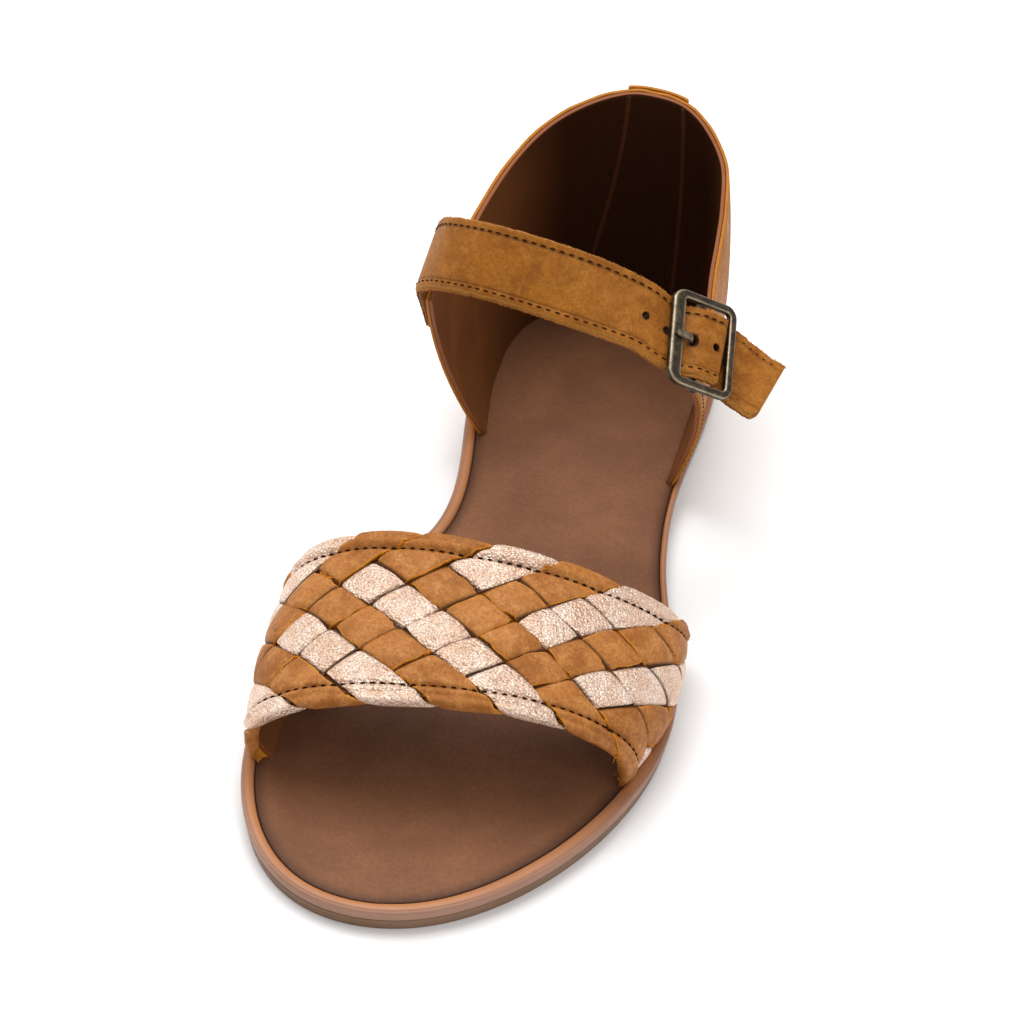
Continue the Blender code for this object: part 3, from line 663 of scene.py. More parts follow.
def plain_leather(name, dark, base, edge, roughness, grain_scale=1600.0, depth=0.00008,
                  heel_shade=None):
    """Smooth lining or sock leather: even tone, fine grain; heel_shade is painted shade far inside
    the heel.
    """
    n = Nodes(name)
    cloud = n.noise(38, 4, 0.55, distortion=0.4)
    grain = n.noise(grain_scale, 3, 0.6)
    pores = n.cells(grain_scale * 1.2, "F1")
    colour = n.mix(n.remap(cloud, 0.3, 0.7), dark, base)
    if heel_shade:
        # Painted shade, darkest at the back of the heel, between its two sides.
        aside = n.math("ABSOLUTE", n.math("ADD", n.axis("X"), 0.005))
        depth_share = n.math("MULTIPLY", n.remap(n.axis("Y"), 0.035, 0.095),
                             n.remap(aside, 0.020, 0.038, 1.0, 0.12))
        colour = n.mix(depth_share, colour, heel_shade)
    colour = n.tint(colour, grain, (0.35, 0.65), (0.22, 0.0), dimmed(dark, 0.5))
    colour = n.tint(colour, n.mark(), (0.2, 0.9), (0.0, 1.0), edge)
    # Painted shade where the mesh marks it, such as the walls of the strap's holes.
    colour = n.mix(n.mark("deep"), colour, dimmed(dark, 0.12))
    rough = n.remap(grain, 0.3, 0.7, roughness + 0.08, roughness - 0.05)
    normal = n.relief((grain, depth, 0.5), (pores, depth, 0.4))
    return n.finish(colour, rough, normal, **{"Specular IOR Level": 0.14})


def sole_material(name, base, dark, roughness, streak=(1.0, 1.0, 30.0), streak_scale=60,
                  marked=None):
    """Moulded sole rubber with faint layer streaks and small scuffs; marked is a painted shade
    colour.
    """
    n = Nodes(name)
    cloud = n.noise(45, 4, 0.6)
    layer = n.noise(streak_scale, 3, 0.6, place=n.scaled(streak))
    fine = n.noise(2200, 3, 0.65)
    middle = tuple(0.5 * (a + b) for a, b in zip(base, dark))
    colour = n.mix(n.remap(cloud, 0.3, 0.7), base, middle)
    # Painted shade on the marked rings: the rim's outer and inner sides.
    if marked:
        colour = n.tint(colour, n.mark(), (0.0, 1.0), (0.0, 0.9), marked)
    colour = n.tint(colour, layer, (0.45, 0.75), (0.0, 0.5), dark)
    colour = n.tint(colour, fine, (0.3, 0.6), (0.2, 0.0), dark)
    rough = n.remap(cloud, 0.3, 0.7, roughness - 0.05, roughness + 0.08)
    normal = n.relief((fine, 0.0001, 0.4), (layer, 0.0002, 0.3))
    return n.finish(colour, rough, normal)


def brass_material():
    """Antique brass: dark brown-grey patina, worn brighter along its edges."""
    n = Nodes("antique_brass")
    cloud = n.noise(420, 4, 0.7, distortion=0.8)
    fine = n.noise(2600, 3, 0.6)
    worn = n.remap(n.mark(), 0.1, 0.9)
    worn = n.math("MULTIPLY", worn, n.remap(cloud, 0.25, 0.6, 0.35, 1.0))
    colour = n.mix(n.remap(cloud, 0.35, 0.7), (0.050, 0.039, 0.029), (0.130, 0.100, 0.068))
    colour = n.mix(worn, colour, (0.42, 0.34, 0.23))
    rough = n.remap(fine, 0.3, 0.7, 0.40, 0.58)
    normal = n.relief((fine, 0.00006, 0.35), (cloud, 0.00015, 0.25))
    return n.finish(colour, rough, normal, **{"Metallic": 1.0})


def thread_material(name, colour):
    """Twisted waxed thread."""
    n = Nodes(name)
    twist = n.new("ShaderNodeTexWave", wave_type="BANDS", bands_direction="DIAGONAL")
    n.link(n.place, twist.inputs["Vector"])
    twist.inputs["Scale"].default_value = 1400
    twist.inputs["Distortion"].default_value = 1.0
    fine = n.noise(3000, 2, 0.6)
    shade = n.mix(n.remap(fine, 0.3, 0.7), dimmed(colour, 0.5), colour)
    normal = n.relief((twist.outputs["Fac"], 0.0001, 0.5))
    return n.finish(shade, 0.8, normal, **{"Specular IOR Level": 0.03})


TAN = tan_leather("tan_leather", (0.32, 0.110, 0.014), (0.41, 0.155, 0.021), (0.50, 0.21, 0.038),
                  (0.55, 0.20, 0.022), sheen=0.10)
STRAP_TAN = tan_leather("strap_leather", (0.230, 0.072, 0.007), (0.32, 0.110, 0.010),
                        (0.41, 0.160, 0.022), (0.56, 0.25, 0.050), contrast=0.12, sheen=0.14)
BRAID_TAN = tan_leather("braid_tan_leather", (0.30, 0.098, 0.016), (0.45, 0.168, 0.034),
                        (0.58, 0.255, 0.072), (0.74, 0.27, 0.02), contrast=0.12, crease=0.45)
GOLD = gold_leather()
LINING = plain_leather("lining_leather", (0.185, 0.063, 0.018), (0.250, 0.087, 0.025),
                       (0.26, 0.086, 0.034), 0.6, heel_shade=(0.026, 0.0068, 0.0014))
INSOLE = plain_leather("insole_leather", (0.180, 0.075, 0.036), (0.245, 0.104, 0.050),
                       (0.055, 0.022, 0.012), 0.45, grain_scale=1150.0, depth=0.00016)
# Its marked colour is painted shade, darkening the rim's sides under its lighter rounded top.
RIM = sole_material("midsole_rim", (0.45, 0.185, 0.072), (0.36, 0.138, 0.048), 0.45,
                    marked=(0.30, 0.128, 0.058))
SIDE = sole_material("midsole_side", (0.34, 0.172, 0.108), (0.26, 0.126, 0.075), 0.5)
TREAD = sole_material("outsole_rubber", (0.205, 0.108, 0.054), (0.155, 0.078, 0.038), 0.55,
                      streak=(1.0, 9.0, 6.0), streak_scale=22)
BRASS = brass_material()
THREAD = thread_material("waxed_thread", (0.034, 0.013, 0.004))


# ==== sole =====================================================================================
def ring_stack(build, rings, cap_bottom=True, cap_top=True, edge=0.0):
    """Closed rings of equal size, bottom to top; edge gives each ring's mark."""
    count = len(rings[0])
    faces = []
    for r in range(len(rings) - 1):
        for i in range(count):
            j = (i + 1) % count
            faces.append((r * count + i, r * count + j, (r + 1) * count + j, (r + 1) * count + i))
    if cap_bottom:
        faces.append(tuple(range(count))[::-1])
    if cap_top:
        faces.append(tuple(range((len(rings) - 1) * count, len(rings) * count)))
    marks = np.repeat(np.broadcast_to(edge, len(rings)), count)
    build.add(np.concatenate(rings), faces, marks)


def build_sole(loop):
    """Tread, side band, rim and insole, each a stack of rings inset from the outline."""
    rims = np.array([rim_width(*p) for p in loop])

    def layer(name, material, slot, node, profile, **caps):
        """One layer; its profile gives height, inset, inset in rim widths and mark, bottom up."""
        build = Build()
        rings = [np.column_stack([inset_loop(loop, inset + share * rims), np.full(len(loop), z)])
                 for z, inset, share, _ in profile]
        ring_stack(build, rings, edge=[mark for *_, mark in profile], **caps)
        build.make(name, material, slot, node)

    seam = OUTSOLE_TOP + GAP / 2
    tuck = OUTSOLE_TUCK
    layer("outsole_tread", TREAD, "outsole_rubber", "outsole", [
        (0.0, tuck + 0.9, 0, 0), (0.0, tuck + 0.35, 0, 0), (0.12, tuck + 0.1, 0, 0),
        (0.4, tuck, 0, 0), (1.6, tuck * 0.75, 0, 0), (seam - 0.6, tuck * 0.5, 0, 0),
        (seam - 0.12, tuck * 0.45, 0, 0), (seam + 0.05, tuck * 0.45 + 0.25, 0, 0),
    ])
    # The side band is rounded over at the top; the rim starts inside it.
    layer("midsole_side", SIDE, "midsole_rubber", "midsole", [
        (seam - 0.03, 1.2, 0, 0), (seam - 0.03, 0.75, 0, 0), (seam + 0.1, 0.45, 0, 0),
        (seam + 0.35, 0.30, 0, 0), (4.7, 0.16, 0, 0), (5.6, 0.05, 0, 0), (6.2, 0.0, 0, 0),
        (6.6, 0.08, 0, 0), (6.85, 0.24, 0, 0), (6.98, 0.45, 0, 0), (7.0, 0.62, 0, 0),
        (6.9, 0.75, 0, 0),
    ], cap_top=False)
    # The rim's marks paint shade down its outer side and into the groove inside it; its rounded top
    # stays lighter.
    layer("midsole_rim", RIM, "midsole_rubber", "midsole", [
        (6.7, 0.68, 0.0, 1.0), (6.95, 0.56, 0.02, 1.0), (7.08, 0.50, 0.07, 1.0),
        (7.17, 0.40, 0.16, 0.9), (7.22, 0.24, 0.30, 0.55), (7.24, 0.08, 0.45, 0.2),
        (7.2, 0.0, 0.62, 0.0), (7.05, 0.0, 0.78, 0.0), (6.8, 0.0, 0.89, 0.1),
        (6.45, 0.0, 0.96, 0.5), (5.9, 0.0, 0.99, 1.0), (5.2, 0.0, 1.0, 1.0),
    ], cap_top=False, cap_bottom=False)
    layer("insole_sock", INSOLE, "insole_leather", "insole", [
        (5.25, 0.08, 1, 0.3), (5.8, 0.06, 1, 0.9), (6.2, 0.06, 1, 1.0), (6.42, 0.20, 1, 0.85),
        (6.53, 0.50, 1, 0.72), (6.56, 0.95, 1, 0.62), (6.55, 1.8, 1, 0.50), (6.50, 3.4, 1, 0.30),
        (6.44, 6.5, 1, 0.0), (6.40, 11.0, 1, 0.0),
    ])


# ==== braided band =============================================================================
def band_arch(loop, share):
    """One arch of the band's outer face; share 0 is its front edge and 1 its back edge."""
    now = {key: BAND_FRONT[key] + (BAND_BACK[key] - BAND_FRONT[key]) * share
           for key in BAND_FRONT}
    medial = np.array([side_x(loop, now["medial_y"], -1), now["medial_y"]])
    lateral = np.array([side_x(loop, now["lateral_y"], 1), now["lateral_y"]])
    medial[0] += rim_width(*medial) + GAP
    lateral[0] -= rim_width(*lateral) + GAP
    angle = np.pi * np.arange(ARCH_POINTS) / (ARCH_POINTS - 1)
    cosine, sine = -np.cos(angle), np.sin(angle)
    blend = 0.5 + 0.5 * cosine
    power = 2 / (now["square_medial"] * (1 - blend) + now["square_lateral"] * blend)
    across = np.sign(cosine) * np.abs(cosine) ** power
    height = np.abs(sine) ** power
    bulge = np.where(cosine < 0, now["bulge_medial"], now["bulge_lateral"])
    swell = (bulge * np.sin(np.minimum(height, 1) ** 0.8 * np.pi)
             * np.minimum(1, 1.2 * np.abs(across)))
    base = medial + (lateral - medial) * (0.5 + 0.5 * across)[:, None]
    points = np.stack([
        base[:, 0] + np.sign(across) * swell,
        base[:, 1] + (now["lean"] + now["lean_side"] * across) * height,
        WALL_BASE + now["rise"] * height * (1 + now["tilt"] * across),
    ], 1)
    points[0, 2] = points[-1, 2] = WALL_BASE
    return points


class BandSurface:
    """The band's outer face by share across it (0 front, 1 back) and share along its arch."""

    def __init__(self, loop):
        rows = []
        for share in np.linspace(0, 1, BAND_SHARES):
            arch = band_arch(loop, share)
            lengths = np.concatenate([[0], np.cumsum(
                np.linalg.norm(np.diff(arch, axis=0), axis=1))])
            goals = np.linspace(0, lengths[-1], BAND_STEPS)
            row = np.stack([np.interp(goals, lengths, arch[:, k]) for k in range(3)], 1)
            rows.append(row)
        self.grid = np.array(rows)
        along = np.gradient(self.grid, axis=1)
        across = np.gradient(self.grid, axis=0)
        self.normals = unit(np.cross(across, along))
        if self.normals[BAND_SHARES // 2, BAND_STEPS // 2, 2] < 0:
            self.normals = -self.normals
        self.across = unit(across - self.normals
                           * (across * self.normals).sum(-1, keepdims=True))
        self.along = along * (BAND_STEPS - 1)
        self.widths = np.linalg.norm(np.diff(self.grid, axis=0), axis=2).sum(0)

    def sample(self, field, s, place):
        """A field of the face between its rows (s) and points (place), both from 0 to 1."""
        i = np.clip(s, 0, 1) * (BAND_SHARES - 1)
        j = np.clip(place, 0, 1) * (BAND_STEPS - 1)
        a = np.minimum(i.astype(int), BAND_SHARES - 2)
        b = np.minimum(j.astype(int), BAND_STEPS - 2)
        u, v = (i - a)[..., None], (j - b)[..., None]
        return (field[a, b] * (1 - u) * (1 - v) + field[a + 1, b] * u * (1 - v)
                + field[a, b + 1] * (1 - u) * v + field[a + 1, b + 1] * u * v)

    def width(self, place):
        """The band's width at a place along it."""
        return np.interp(np.clip(place, 0, 1) * (BAND_STEPS - 1), np.arange(BAND_STEPS),
                         self.widths)

    def place(self, s, place):
        """Point, normal and direction across; past a foot, the face runs straight on."""
        base = self.sample(self.grid, s, place)
        along = self.sample(self.along, s, place)
        base = base + along * (place - np.clip(place, 0, 1))[..., None]
        return (base, unit(self.sample(self.normals, s, place)),
                unit(self.sample(self.across, s, place)))

    def point(self, s, place, height):
        """A point at a height over the face; past an edge, the face rolls round under itself."""
        base, normal, across = self.place(s, place)
        over = np.abs(s - np.clip(s, 0, 1)) * self.width(place)
        outward = np.where((s < 0)[..., None], -across, across)
        # The fold is tighter and shorter at the band's two feet.
        near_end = smooth(np.minimum(place, 1 - place) / 0.06)
        radius = FOLD_RADIUS * (0.45 + 0.55 * near_end)
        turn = np.minimum(over / radius, 1.3 + 1.2 * near_end)[..., None]
        reach = (radius + height)[..., None]
        rolled = (base - normal * radius[..., None]
                  + reach * (normal * np.cos(turn) + outward * np.sin(turn)))
        flat = base + normal * height[..., None]
        return np.where((over > 0)[..., None], rolled, flat)


def braid_place(s, t):
    """Share along the arch for a place in the braid."""
    steps = np.arange(len(BRAID_PLACE)) + BRAID_FIRST
    fine = np.linspace(steps[0], steps[-1], 400)
    values = through([(v,) for v in BRAID_PLACE], fine - BRAID_FIRST)[:, 0]
    middle = np.interp(t, fine, values)
    s = np.clip(s, -0.1, 1.1)
    return middle + (s - 0.5) * (BRAID_SKEW[0] + BRAID_SKEW[1] * t)


def strip_wave(kind, number, cross):
    """1 where a strip lies on top and -1 where it runs under, for places along it."""
    # From its last crossing on top a strip stays on top to the edge where it folds.
    if kind == "A":
        held = np.clip(cross, number - STRIPS_ASIDE, number + STRIPS_ASIDE - 1)
        return np.cos(np.pi * (number + held))
    held = np.clip(cross, number - STRIPS_ASIDE + 1, number + STRIPS_ASIDE)
    return -np.cos(np.pi * (number + held))


def strip_height(wave, w):
    """Middle height of a strip over the plane of the braid; w is the place across the strip."""
    level = np.tanh(4.5 * wave) * STRIP_THICK / 2
    sag = 0.22 * np.abs(2 * w) ** 5 + 0.24 * (2 * w) ** 2
    return level - sag + STRIP_CROWN * np.maximum(0, wave)


def is_gold(kind, number):
    """Whether a strip is rose gold; each A strip goes on as a B strip where it folds."""
    loop_number = number if kind == "A" else number - STRIPS_ASIDE
    return (loop_number + 1) % STRIPS in LOOPS_GOLD


def near_stitches(surface, s, place, width):
    """1 on the sewn lines along both edges, falling to 0 over a width in mm."""
    across = surface.width(place)
    return sum(np.exp(-((distance - BAND_STITCH_INSET) / width) ** 2)
               for distance in (s * across, (1 - s) * across))


def sewn_dip(surface, s, place):
    """How far the sewn lines pull the braid down."""
    return STITCH_DIP * near_stitches(surface, s, place, STITCH_DIP_WIDTH)


def near_edge(s, centre, width):
    """1 at a share from either edge of the band, falling to 0 over a width in shares."""
    return np.exp(-((np.minimum(np.abs(s), np.abs(1 - s)) - centre) / width) ** 2)


def strip_frame(surface, kind, number, cross, w):
    """Share across the band, share along it and the strip's middle height, for strip places."""
    i, j = (number + w, cross) if kind == "A" else (cross, number + w)
    s = (i - j + STRIPS_ASIDE) / STRIPS
    t = i + j
    wave = strip_wave(kind, number, cross)
    # Each fold bows out of the band's edge, most a little past its middle.
    lip = FOLD_LIP * (1 - ((w - 0.12) / 0.62) ** 2) - FOLD_BACK
    if kind == "A":
        near = smooth((FOLD_ZONE - s) / FOLD_ZONE)
        s = s - lip * near
    else:
        near = smooth((s - (1 - FOLD_ZONE)) / FOLD_ZONE)
        s = s + lip * near
    place = braid_place(s, t)
    height = strip_height(wave, w) - FOLD_TILT * w * near
    height = height - sewn_dip(surface, s, place)
    height = height + FOLD_PUFF * near_edge(s, 0.026, 0.022)
    # No strip sinks through the lining.
    return s, place, np.maximum(height, STRIP_LOWEST)


def strip_rows(kind):
    """Places along a strip, in crossings from the edge where it folds to the edge it hides at."""
    fold = np.linspace(-STRIPS * FOLD_END, 0.9, 30)
    cells = np.array([cell + step for cell in range(1, STRIPS) for step in STRIP_CELL])
    cells = cells[(cells > 0.95) & (cells < STRIPS - 0.95)]
    hidden = np.linspace(STRIPS - 0.8, STRIPS + 0.06, 5)
    rows = np.concatenate([fold, cells, hidden])
    return rows if kind == "A" else STRIPS - rows[::-1]


def strip_outline(kind, number, gold, sides, chance):
    """A strip's crossings (c) and places across it (w), by row and side, and its wave's phase."""
    rows = strip_rows(kind)
    middle_line = (number + STRIPS_ASIDE - rows if kind == "A"
                   else number - STRIPS_ASIDE + rows)
    wave = strip_wave(kind, number, middle_line)
    narrow, full = GOLD_FILL if gold else TAN_FILL
    half = 0.5 * (narrow + (full - narrow) * np.maximum(0, wave) ** 0.7)
    phase = chance.uniform(0, 6, 2)
    # Both sides are cut a little unevenly, tan ones more than gold ones.
    jag = np.stack([0.018 * np.sin(9.1 * rows + p) + chance.normal(0, 0.007, len(rows))
                    for p in phase], 1) * (0.35 if gold else 1.0)
    wander = 0.045 * np.sin(2.1 * rows + phase[1])
    grid_w = sides[None, :] * half[:, None] + wander[:, None]
    grid_w = grid_w + np.where(sides > 0, jag[:, 1:], jag[:, :1]) * np.abs(sides)
    # Towards both edges of the band the rows turn parallel to the edge.
    turned = 1 - smooth((np.minimum(rows, STRIPS - rows) - 0.55) / 0.8)
    return middle_line[:, None] + grid_w * turned[:, None], grid_w, phase[0]


def add_strip(build, surface, kind, number, gold, chance):
    """One woven strip, where it lies on the band."""
    sides = np.array([-v for v in STRIP_SIDE[:0:-1]] + STRIP_SIDE)
    grid_c, grid_w, phase = strip_outline(kind, number, gold, sides, chance)
    s, place, height = strip_frame(surface, kind, number, grid_c, grid_w)
    keep = np.where((place.max(1) > -0.02) & (place.min(1) < 1.02))[0]
    if len(keep) < 6:
        return
    keep = slice(keep[0], keep[-1] + 1)
    s, place, height, grid_c, grid_w = (v[keep] for v in (s, place, height, grid_c, grid_w))
    wrinkle = np.sin(38 * grid_w + 2.5 * grid_c + phase)
    height = height + 0.08 * wrinkle * near_edge(s, 0.0, 0.035)
    level = np.tanh(4.5 * strip_wave(kind, number, grid_c))
    # Painted shade where a strip dives under its neighbours, less near the band's edges, and in the
    # grooves of the sewn lines.
    deep = np.clip((0.85 - level) / 0.75, 0, 1) * (1 - 0.5 * near_edge(s, 0.0, 0.05))
    deep = np.maximum(deep, 0.45 * near_stitches(surface, s, place, 0.34))
    border = np.clip((np.abs(sides)[None, :] - 0.86) / 0.14, 0, 1) + 0 * s
    worn = 0.95 * border ** 1.5 * (0 if gold else 1)
    half_thick = STRIP_THICK / 2 * (1 - 0.35 * border ** 2)
    middle = height + STRIP_PLANE
    place = np.clip(place, -0.025, 1.025)
    top = surface.point(s, place, middle + half_thick)
    bottom = surface.point(s, place, middle - half_thick)
    build.slab(top, bottom, bulge=0.05, worn=worn, deep=deep)
    if not gold:
        open_rows = np.abs(place[:, len(STRIP_SIDE) - 1] - 0.5) < 0.45
        fray_strip(build, top, bottom, level, open_rows, 100 * (kind == "B") + number + 10)


def build_braid(surface):
    """The woven strips, in one mesh for each leather."""
    shades = {True: Build(), False: Build()}
    chance = np.random.default_rng(7)
    for kind in ("A", "B"):
        for number in range(-5, 13):
            gold = is_gold(kind, number)
            add_strip(shades[gold], surface, kind, number, gold, chance)
    shades[True].make("vamp_strips_gold", GOLD, "rose_gold_leather", "vamp_band", angle=50)
    shades[False].make("vamp_strips_tan", BRAID_TAN, "tan_leather", "vamp_band", angle=50)


def fray_strip(build, top, bottom, level, open_rows, seed):
    """Loose fibres along a tan strip's sides on its open rows, and a tuft here and there."""
    outs = unit(top - bottom)
    on_top = (level[:, len(level[0]) // 2] > 0.2) & open_rows
    chance = np.random.default_rng(seed)
    for order, (column, inward) in enumerate(((0, 3), (-1, -4))):
        across = unit(top[:, column] - top[:, inward])
        line = np.where(on_top)[0]
        if len(line) < 6:
            continue
        fibres(build, top[line, column], outs[line, column], across[line], 26,
               seed * 10 + order, length=0.75, radius=0.075)
        if chance.random() < 0.5:
            start = line[chance.integers(0, len(line) - 4)]
            spot = slice(start, start + 3)
            raised = top[spot, column] + outs[spot, column] * 0.45
            fibres(build, raised, outs[spot, column], across[spot], 60,
                   seed * 10 + 5 + order, length=1.5, radius=0.13)


def braid_top(surface, s, place):
    """Height of the braid's top at a place of the band, for the sewn lines."""
    fine = np.linspace(BRAID_FIRST, len(BRAID_PLACE) + BRAID_FIRST - 1, 800)
    t = np.interp(place, braid_place(np.full(800, s), fine), fine)
    i = (STRIPS * s - STRIPS_ASIDE + t) / 2
    j = (t - STRIPS * s + STRIPS_ASIDE) / 2
    heights = []
    for kind, own, cross in (("A", i, j), ("B", j, i)):
        number = np.round(own)
        heights.append(strip_height(strip_wave(kind, number, cross), own - number))
    top = np.maximum(heights[0], heights[1]) + STRIP_PLANE + STRIP_THICK / 2
    return top - sewn_dip(surface, np.full_like(place, s), place)


def build_band_sewing(surface):
    """One row of stitches along each edge of the band."""
    build = Build()
    for edge in (0, 1):
        place = np.linspace(0.03, 0.975, 900)
        width = surface.width(place)
        s = BAND_STITCH_INSET / width
        s = s if edge == 0 else 1 - s
        height = np.array([braid_top(surface, a, np.array([b]))[0] for a, b in zip(s, place)])
        # The thread spans the gaps between strips, so it follows their mean height.
        height = np.convolve(np.pad(height, 7, mode="edge"), np.ones(15) / 15, mode="valid")
        points = surface.point(s, place, height + 0.12)
        normals = unit(surface.sample(surface.normals, s, place))
        stitch_line(build, points, normals, BAND_STITCH_PITCH, share=0.55, radius=0.27, sag=0.10)
    build.make("vamp_stitching", THREAD, "thread", "vamp_band")


def build_band_lining(surface):
    """The smooth lining under the braid, a little narrower at the band's feet."""
    build = Build()
    hem = np.array([0.003, 0.006, 0.008])
    s_line = np.concatenate([-hem[::-1], np.linspace(0.0, 1.0, 25), 1 + hem])
    s, place = np.meshgrid(s_line, np.linspace(-0.02, 1.02, 181), indexing="ij")
    foot = 1 - smooth((np.minimum(place, 1 - place) - 0.02) / 0.12)
    s = 0.5 + (s - 0.5) * (1 - 0.05 * foot)
    base, normal, across = surface.place(s, place)
    base = base + across * ((s - np.clip(s, 0, 1)) * surface.width(place))[..., None]
    high, low = BAND_LINING
    build.slab(base - normal * high, base - normal * (low + 0.1 * foot[..., None]), bulge=0.08)
    build.make("vamp_lining", LINING, "lining_leather", "vamp_band")


# ==== heel counter =============================================================================
def counter_point(place, share):
    """The counter's outer face: place in ribs, share 0 at the base and 1 at the top edge."""
    place, share = np.broadcast_arrays(np.asarray(place, float), np.asarray(share, float))
    row = through(COUNTER_RIBS, place)
    base = np.stack([row[..., 0], row[..., 1], np.full(place.shape, WALL_BASE)], -1)
    belly = row[..., 2:5]
    top = row[..., 5:8]
    low = np.linalg.norm(belly - base, axis=-1)
    high = np.linalg.norm(top - belly, axis=-1)
    knot = low / (low + high)
    a = (share - knot) * (share - 1) / knot
    b = share * (share - 1) / (knot * (knot - 1))
    c = share * (share - knot) / (1 - knot)
    return base * a[..., None] + belly * b[..., None] + top * c[..., None]


def counter_normal(place, share):
    """The outward normal of the counter's outer face."""
    step = 0.02
    high, low = np.minimum(place + step, COUNTER_LAST), np.maximum(place - step, 0)
    along = counter_point(high, share) - counter_point(low, share)
    up = counter_point(place, share + step) - counter_point(place, share - step)
    return unit(np.cross(up, along))


def counter_offset(place, share, distance):
    """A point off the counter's outer face, along its outward normal."""
    place, share = np.broadcast_arrays(np.asarray(place, float), np.asarray(share, float))
    return (counter_point(place, share)
            + counter_normal(place, share) * np.asarray(distance)[..., None])


def edge_rows(first, last, steps, length, rounding=0.6):
    """Values from first to last, crowded within the rounding at both ends."""
    near = np.array([0, 0.08, 0.25, 0.55, 1.0]) * rounding / length
    inner = np.linspace(near[-1], 1 - near[-1], steps)
    shares = np.concatenate([near[:-1], inner, (1 - near[:-1])[::-1]])
    return first + (last - first) * shares


def rolled(distance, rounding=0.6, keep=0.5):
    """Share of a sheet's thickness left at a distance from its edge."""
    near = np.clip(distance / rounding, 0, 1)
    return keep + (1 - keep) * np.sqrt(np.clip(1 - (1 - near) ** 2, 0, 1))


def counter_grid(places, shares, rib_step, height):
    """Place and share over a part of the counter, and the share of thickness left there."""
    share, place = np.meshgrid(shares, places, indexing="ij")
    distance = np.minimum(np.minimum(place - places[0], places[-1] - place) * rib_step,
                          (1 - share) * height)
    return place, share, rolled(distance, 0.4, 0.75)


def counter_layer(place, share, middle, half, fall):
    """The outer and inner face of one layer of leather on the counter."""
    return (counter_offset(place, share, middle + half * fall),
            counter_offset(place, share, middle - half * fall))


def sew_rib(build, rib, low, high, count, height):
    """A row of stitches up the counter at one rib, between two shares of its height."""
    share = np.linspace(low, high, count)
    points = counter_offset(rib, share, height)
    stitch_line(build, points, counter_normal(rib, share), STITCH_PITCH, **COUNTER_SEWING)


def build_counter():
    """The tan layer, the lining with its two seams, and the sewing of both arms."""
    length, height = COUNTER_SIZE
    places = edge_rows(0.0, COUNTER_LAST, 260, length)
    shares = edge_rows(-0.02, 1.0, 26, height)
    place, share, fall = counter_grid(places, shares, COUNTER_RIB_STEP, height)
    # The top edge is cut by hand, a little unevenly.
    wobble = 0.10 * np.sin(place * 7.0) * smooth(1 - np.minimum(1, (1 - share) * 20))
    half = COUNTER_OUTER / 2
    outer = Build()
    top, bottom = counter_layer(place, share, -half, half, fall)
    for grid in (top, bottom):
        grid[..., 2] += wobble
    outer.slab(top, bottom, bulge=0.10)
    outer.make("counter_upper", TAN, "tan_leather", "heel_counter")

    lining = Build()
    half = COUNTER_LINING / 2
    top, bottom = counter_layer(place, share, -COUNTER_OUTER - half - 0.02, half, fall)
    for grid in (top, bottom):
        grid[..., 2] -= 0.08 * smooth((share - 0.9) / 0.1)
    worn = 0.34 * smooth((share - 0.95) / 0.05)
    lining.slab(bottom, top, bulge=0.10, worn=worn)
    lining.make("counter_lining", LINING, "lining_leather", "heel_counter")

    seams = Build()
    for side, drift in ((-1, 0.75), (1, 0.25)):
        share = np.linspace(0.02, 0.992, 60)
        rib = BACK_STRIP_RIB + side * (BACK_STRIP_HALF + drift * (1 - share) ** 2)
        path = counter_offset(rib, share, -COUNTER_WALL - 0.02)
        inward = -counter_normal(rib, share)
        across = unit(np.cross(unit(np.gradient(path, axis=0)), inward))
        seams.tube(path, across, inward, lambda i: SEAM_SECTION, edge=0.40)
    seams.make("counter_lining_seams", LINING, "lining_leather", "heel_counter")

    sewing = Build()
    for rib, high in ARM_SEWING:
        sew_rib(sewing, rib, 0.08, high, 80, 0.02)
    sewing.make("counter_stitching", THREAD, "thread", "heel_counter")


def build_back_strip():
    """The overlay up the back of the heel, sewn along both sides."""
    width, height = BACK_STRIP_SIZE
    places = edge_rows(BACK_STRIP_RIB - BACK_STRIP_HALF, BACK_STRIP_RIB + BACK_STRIP_HALF, 18,
                       width)
    shares = edge_rows(-0.01, 1.0, 30, height)
    place, share, fall = counter_grid(places, shares, BACK_STRIP_RIB_STEP, height)
    half = BACK_STRIP_SHOWN / 2
    middle = 0.03 + half
    strip = Build()
    top, bottom = counter_layer(place, share, middle, half, fall)
    for grid in (top, bottom):
        grid[..., 2] += BACK_STRIP_RISE * smooth((share - 0.95) / 0.05)
    strip.slab(top, bottom, bulge=0.08)
    strip.make("back_strip_leather", TAN, "tan_leather", "back_strip")
    sewing = Build()
    for side in (-1, 1):
        rib = BACK_STRIP_RIB + side * (BACK_STRIP_HALF - 0.24)
        sew_rib(sewing, rib, 0.05, 0.985, 120, middle + half)
    sewing.make("back_strip_stitching", THREAD, "thread", "back_strip")


# ==== ankle strap ==============================================================================
def strap_stations():
    """Frames along the strap: distance from the buckle's middle, point, across and outward."""
    count = (len(STRAP_ROWS) - 1) * STRAP_STEPS + 1
    values = through(STRAP_ROWS, np.arange(count) / STRAP_STEPS)
    points = values[:, :3]
    distances = np.concatenate([[0], np.cumsum(np.linalg.norm(np.diff(points, axis=0), axis=1))])
    middle = distances[BUCKLE_ROW * STRAP_STEPS]
    along = unit(points[np.minimum(np.arange(count) + 1, count - 1)]
                 - points[np.maximum(np.arange(count) - 1, 0)])
    across = values[:, 3:]
    across = unit(across - along * (across * along).sum(1)[:, None])
    return distances - middle, points, across, np.cross(along, across)


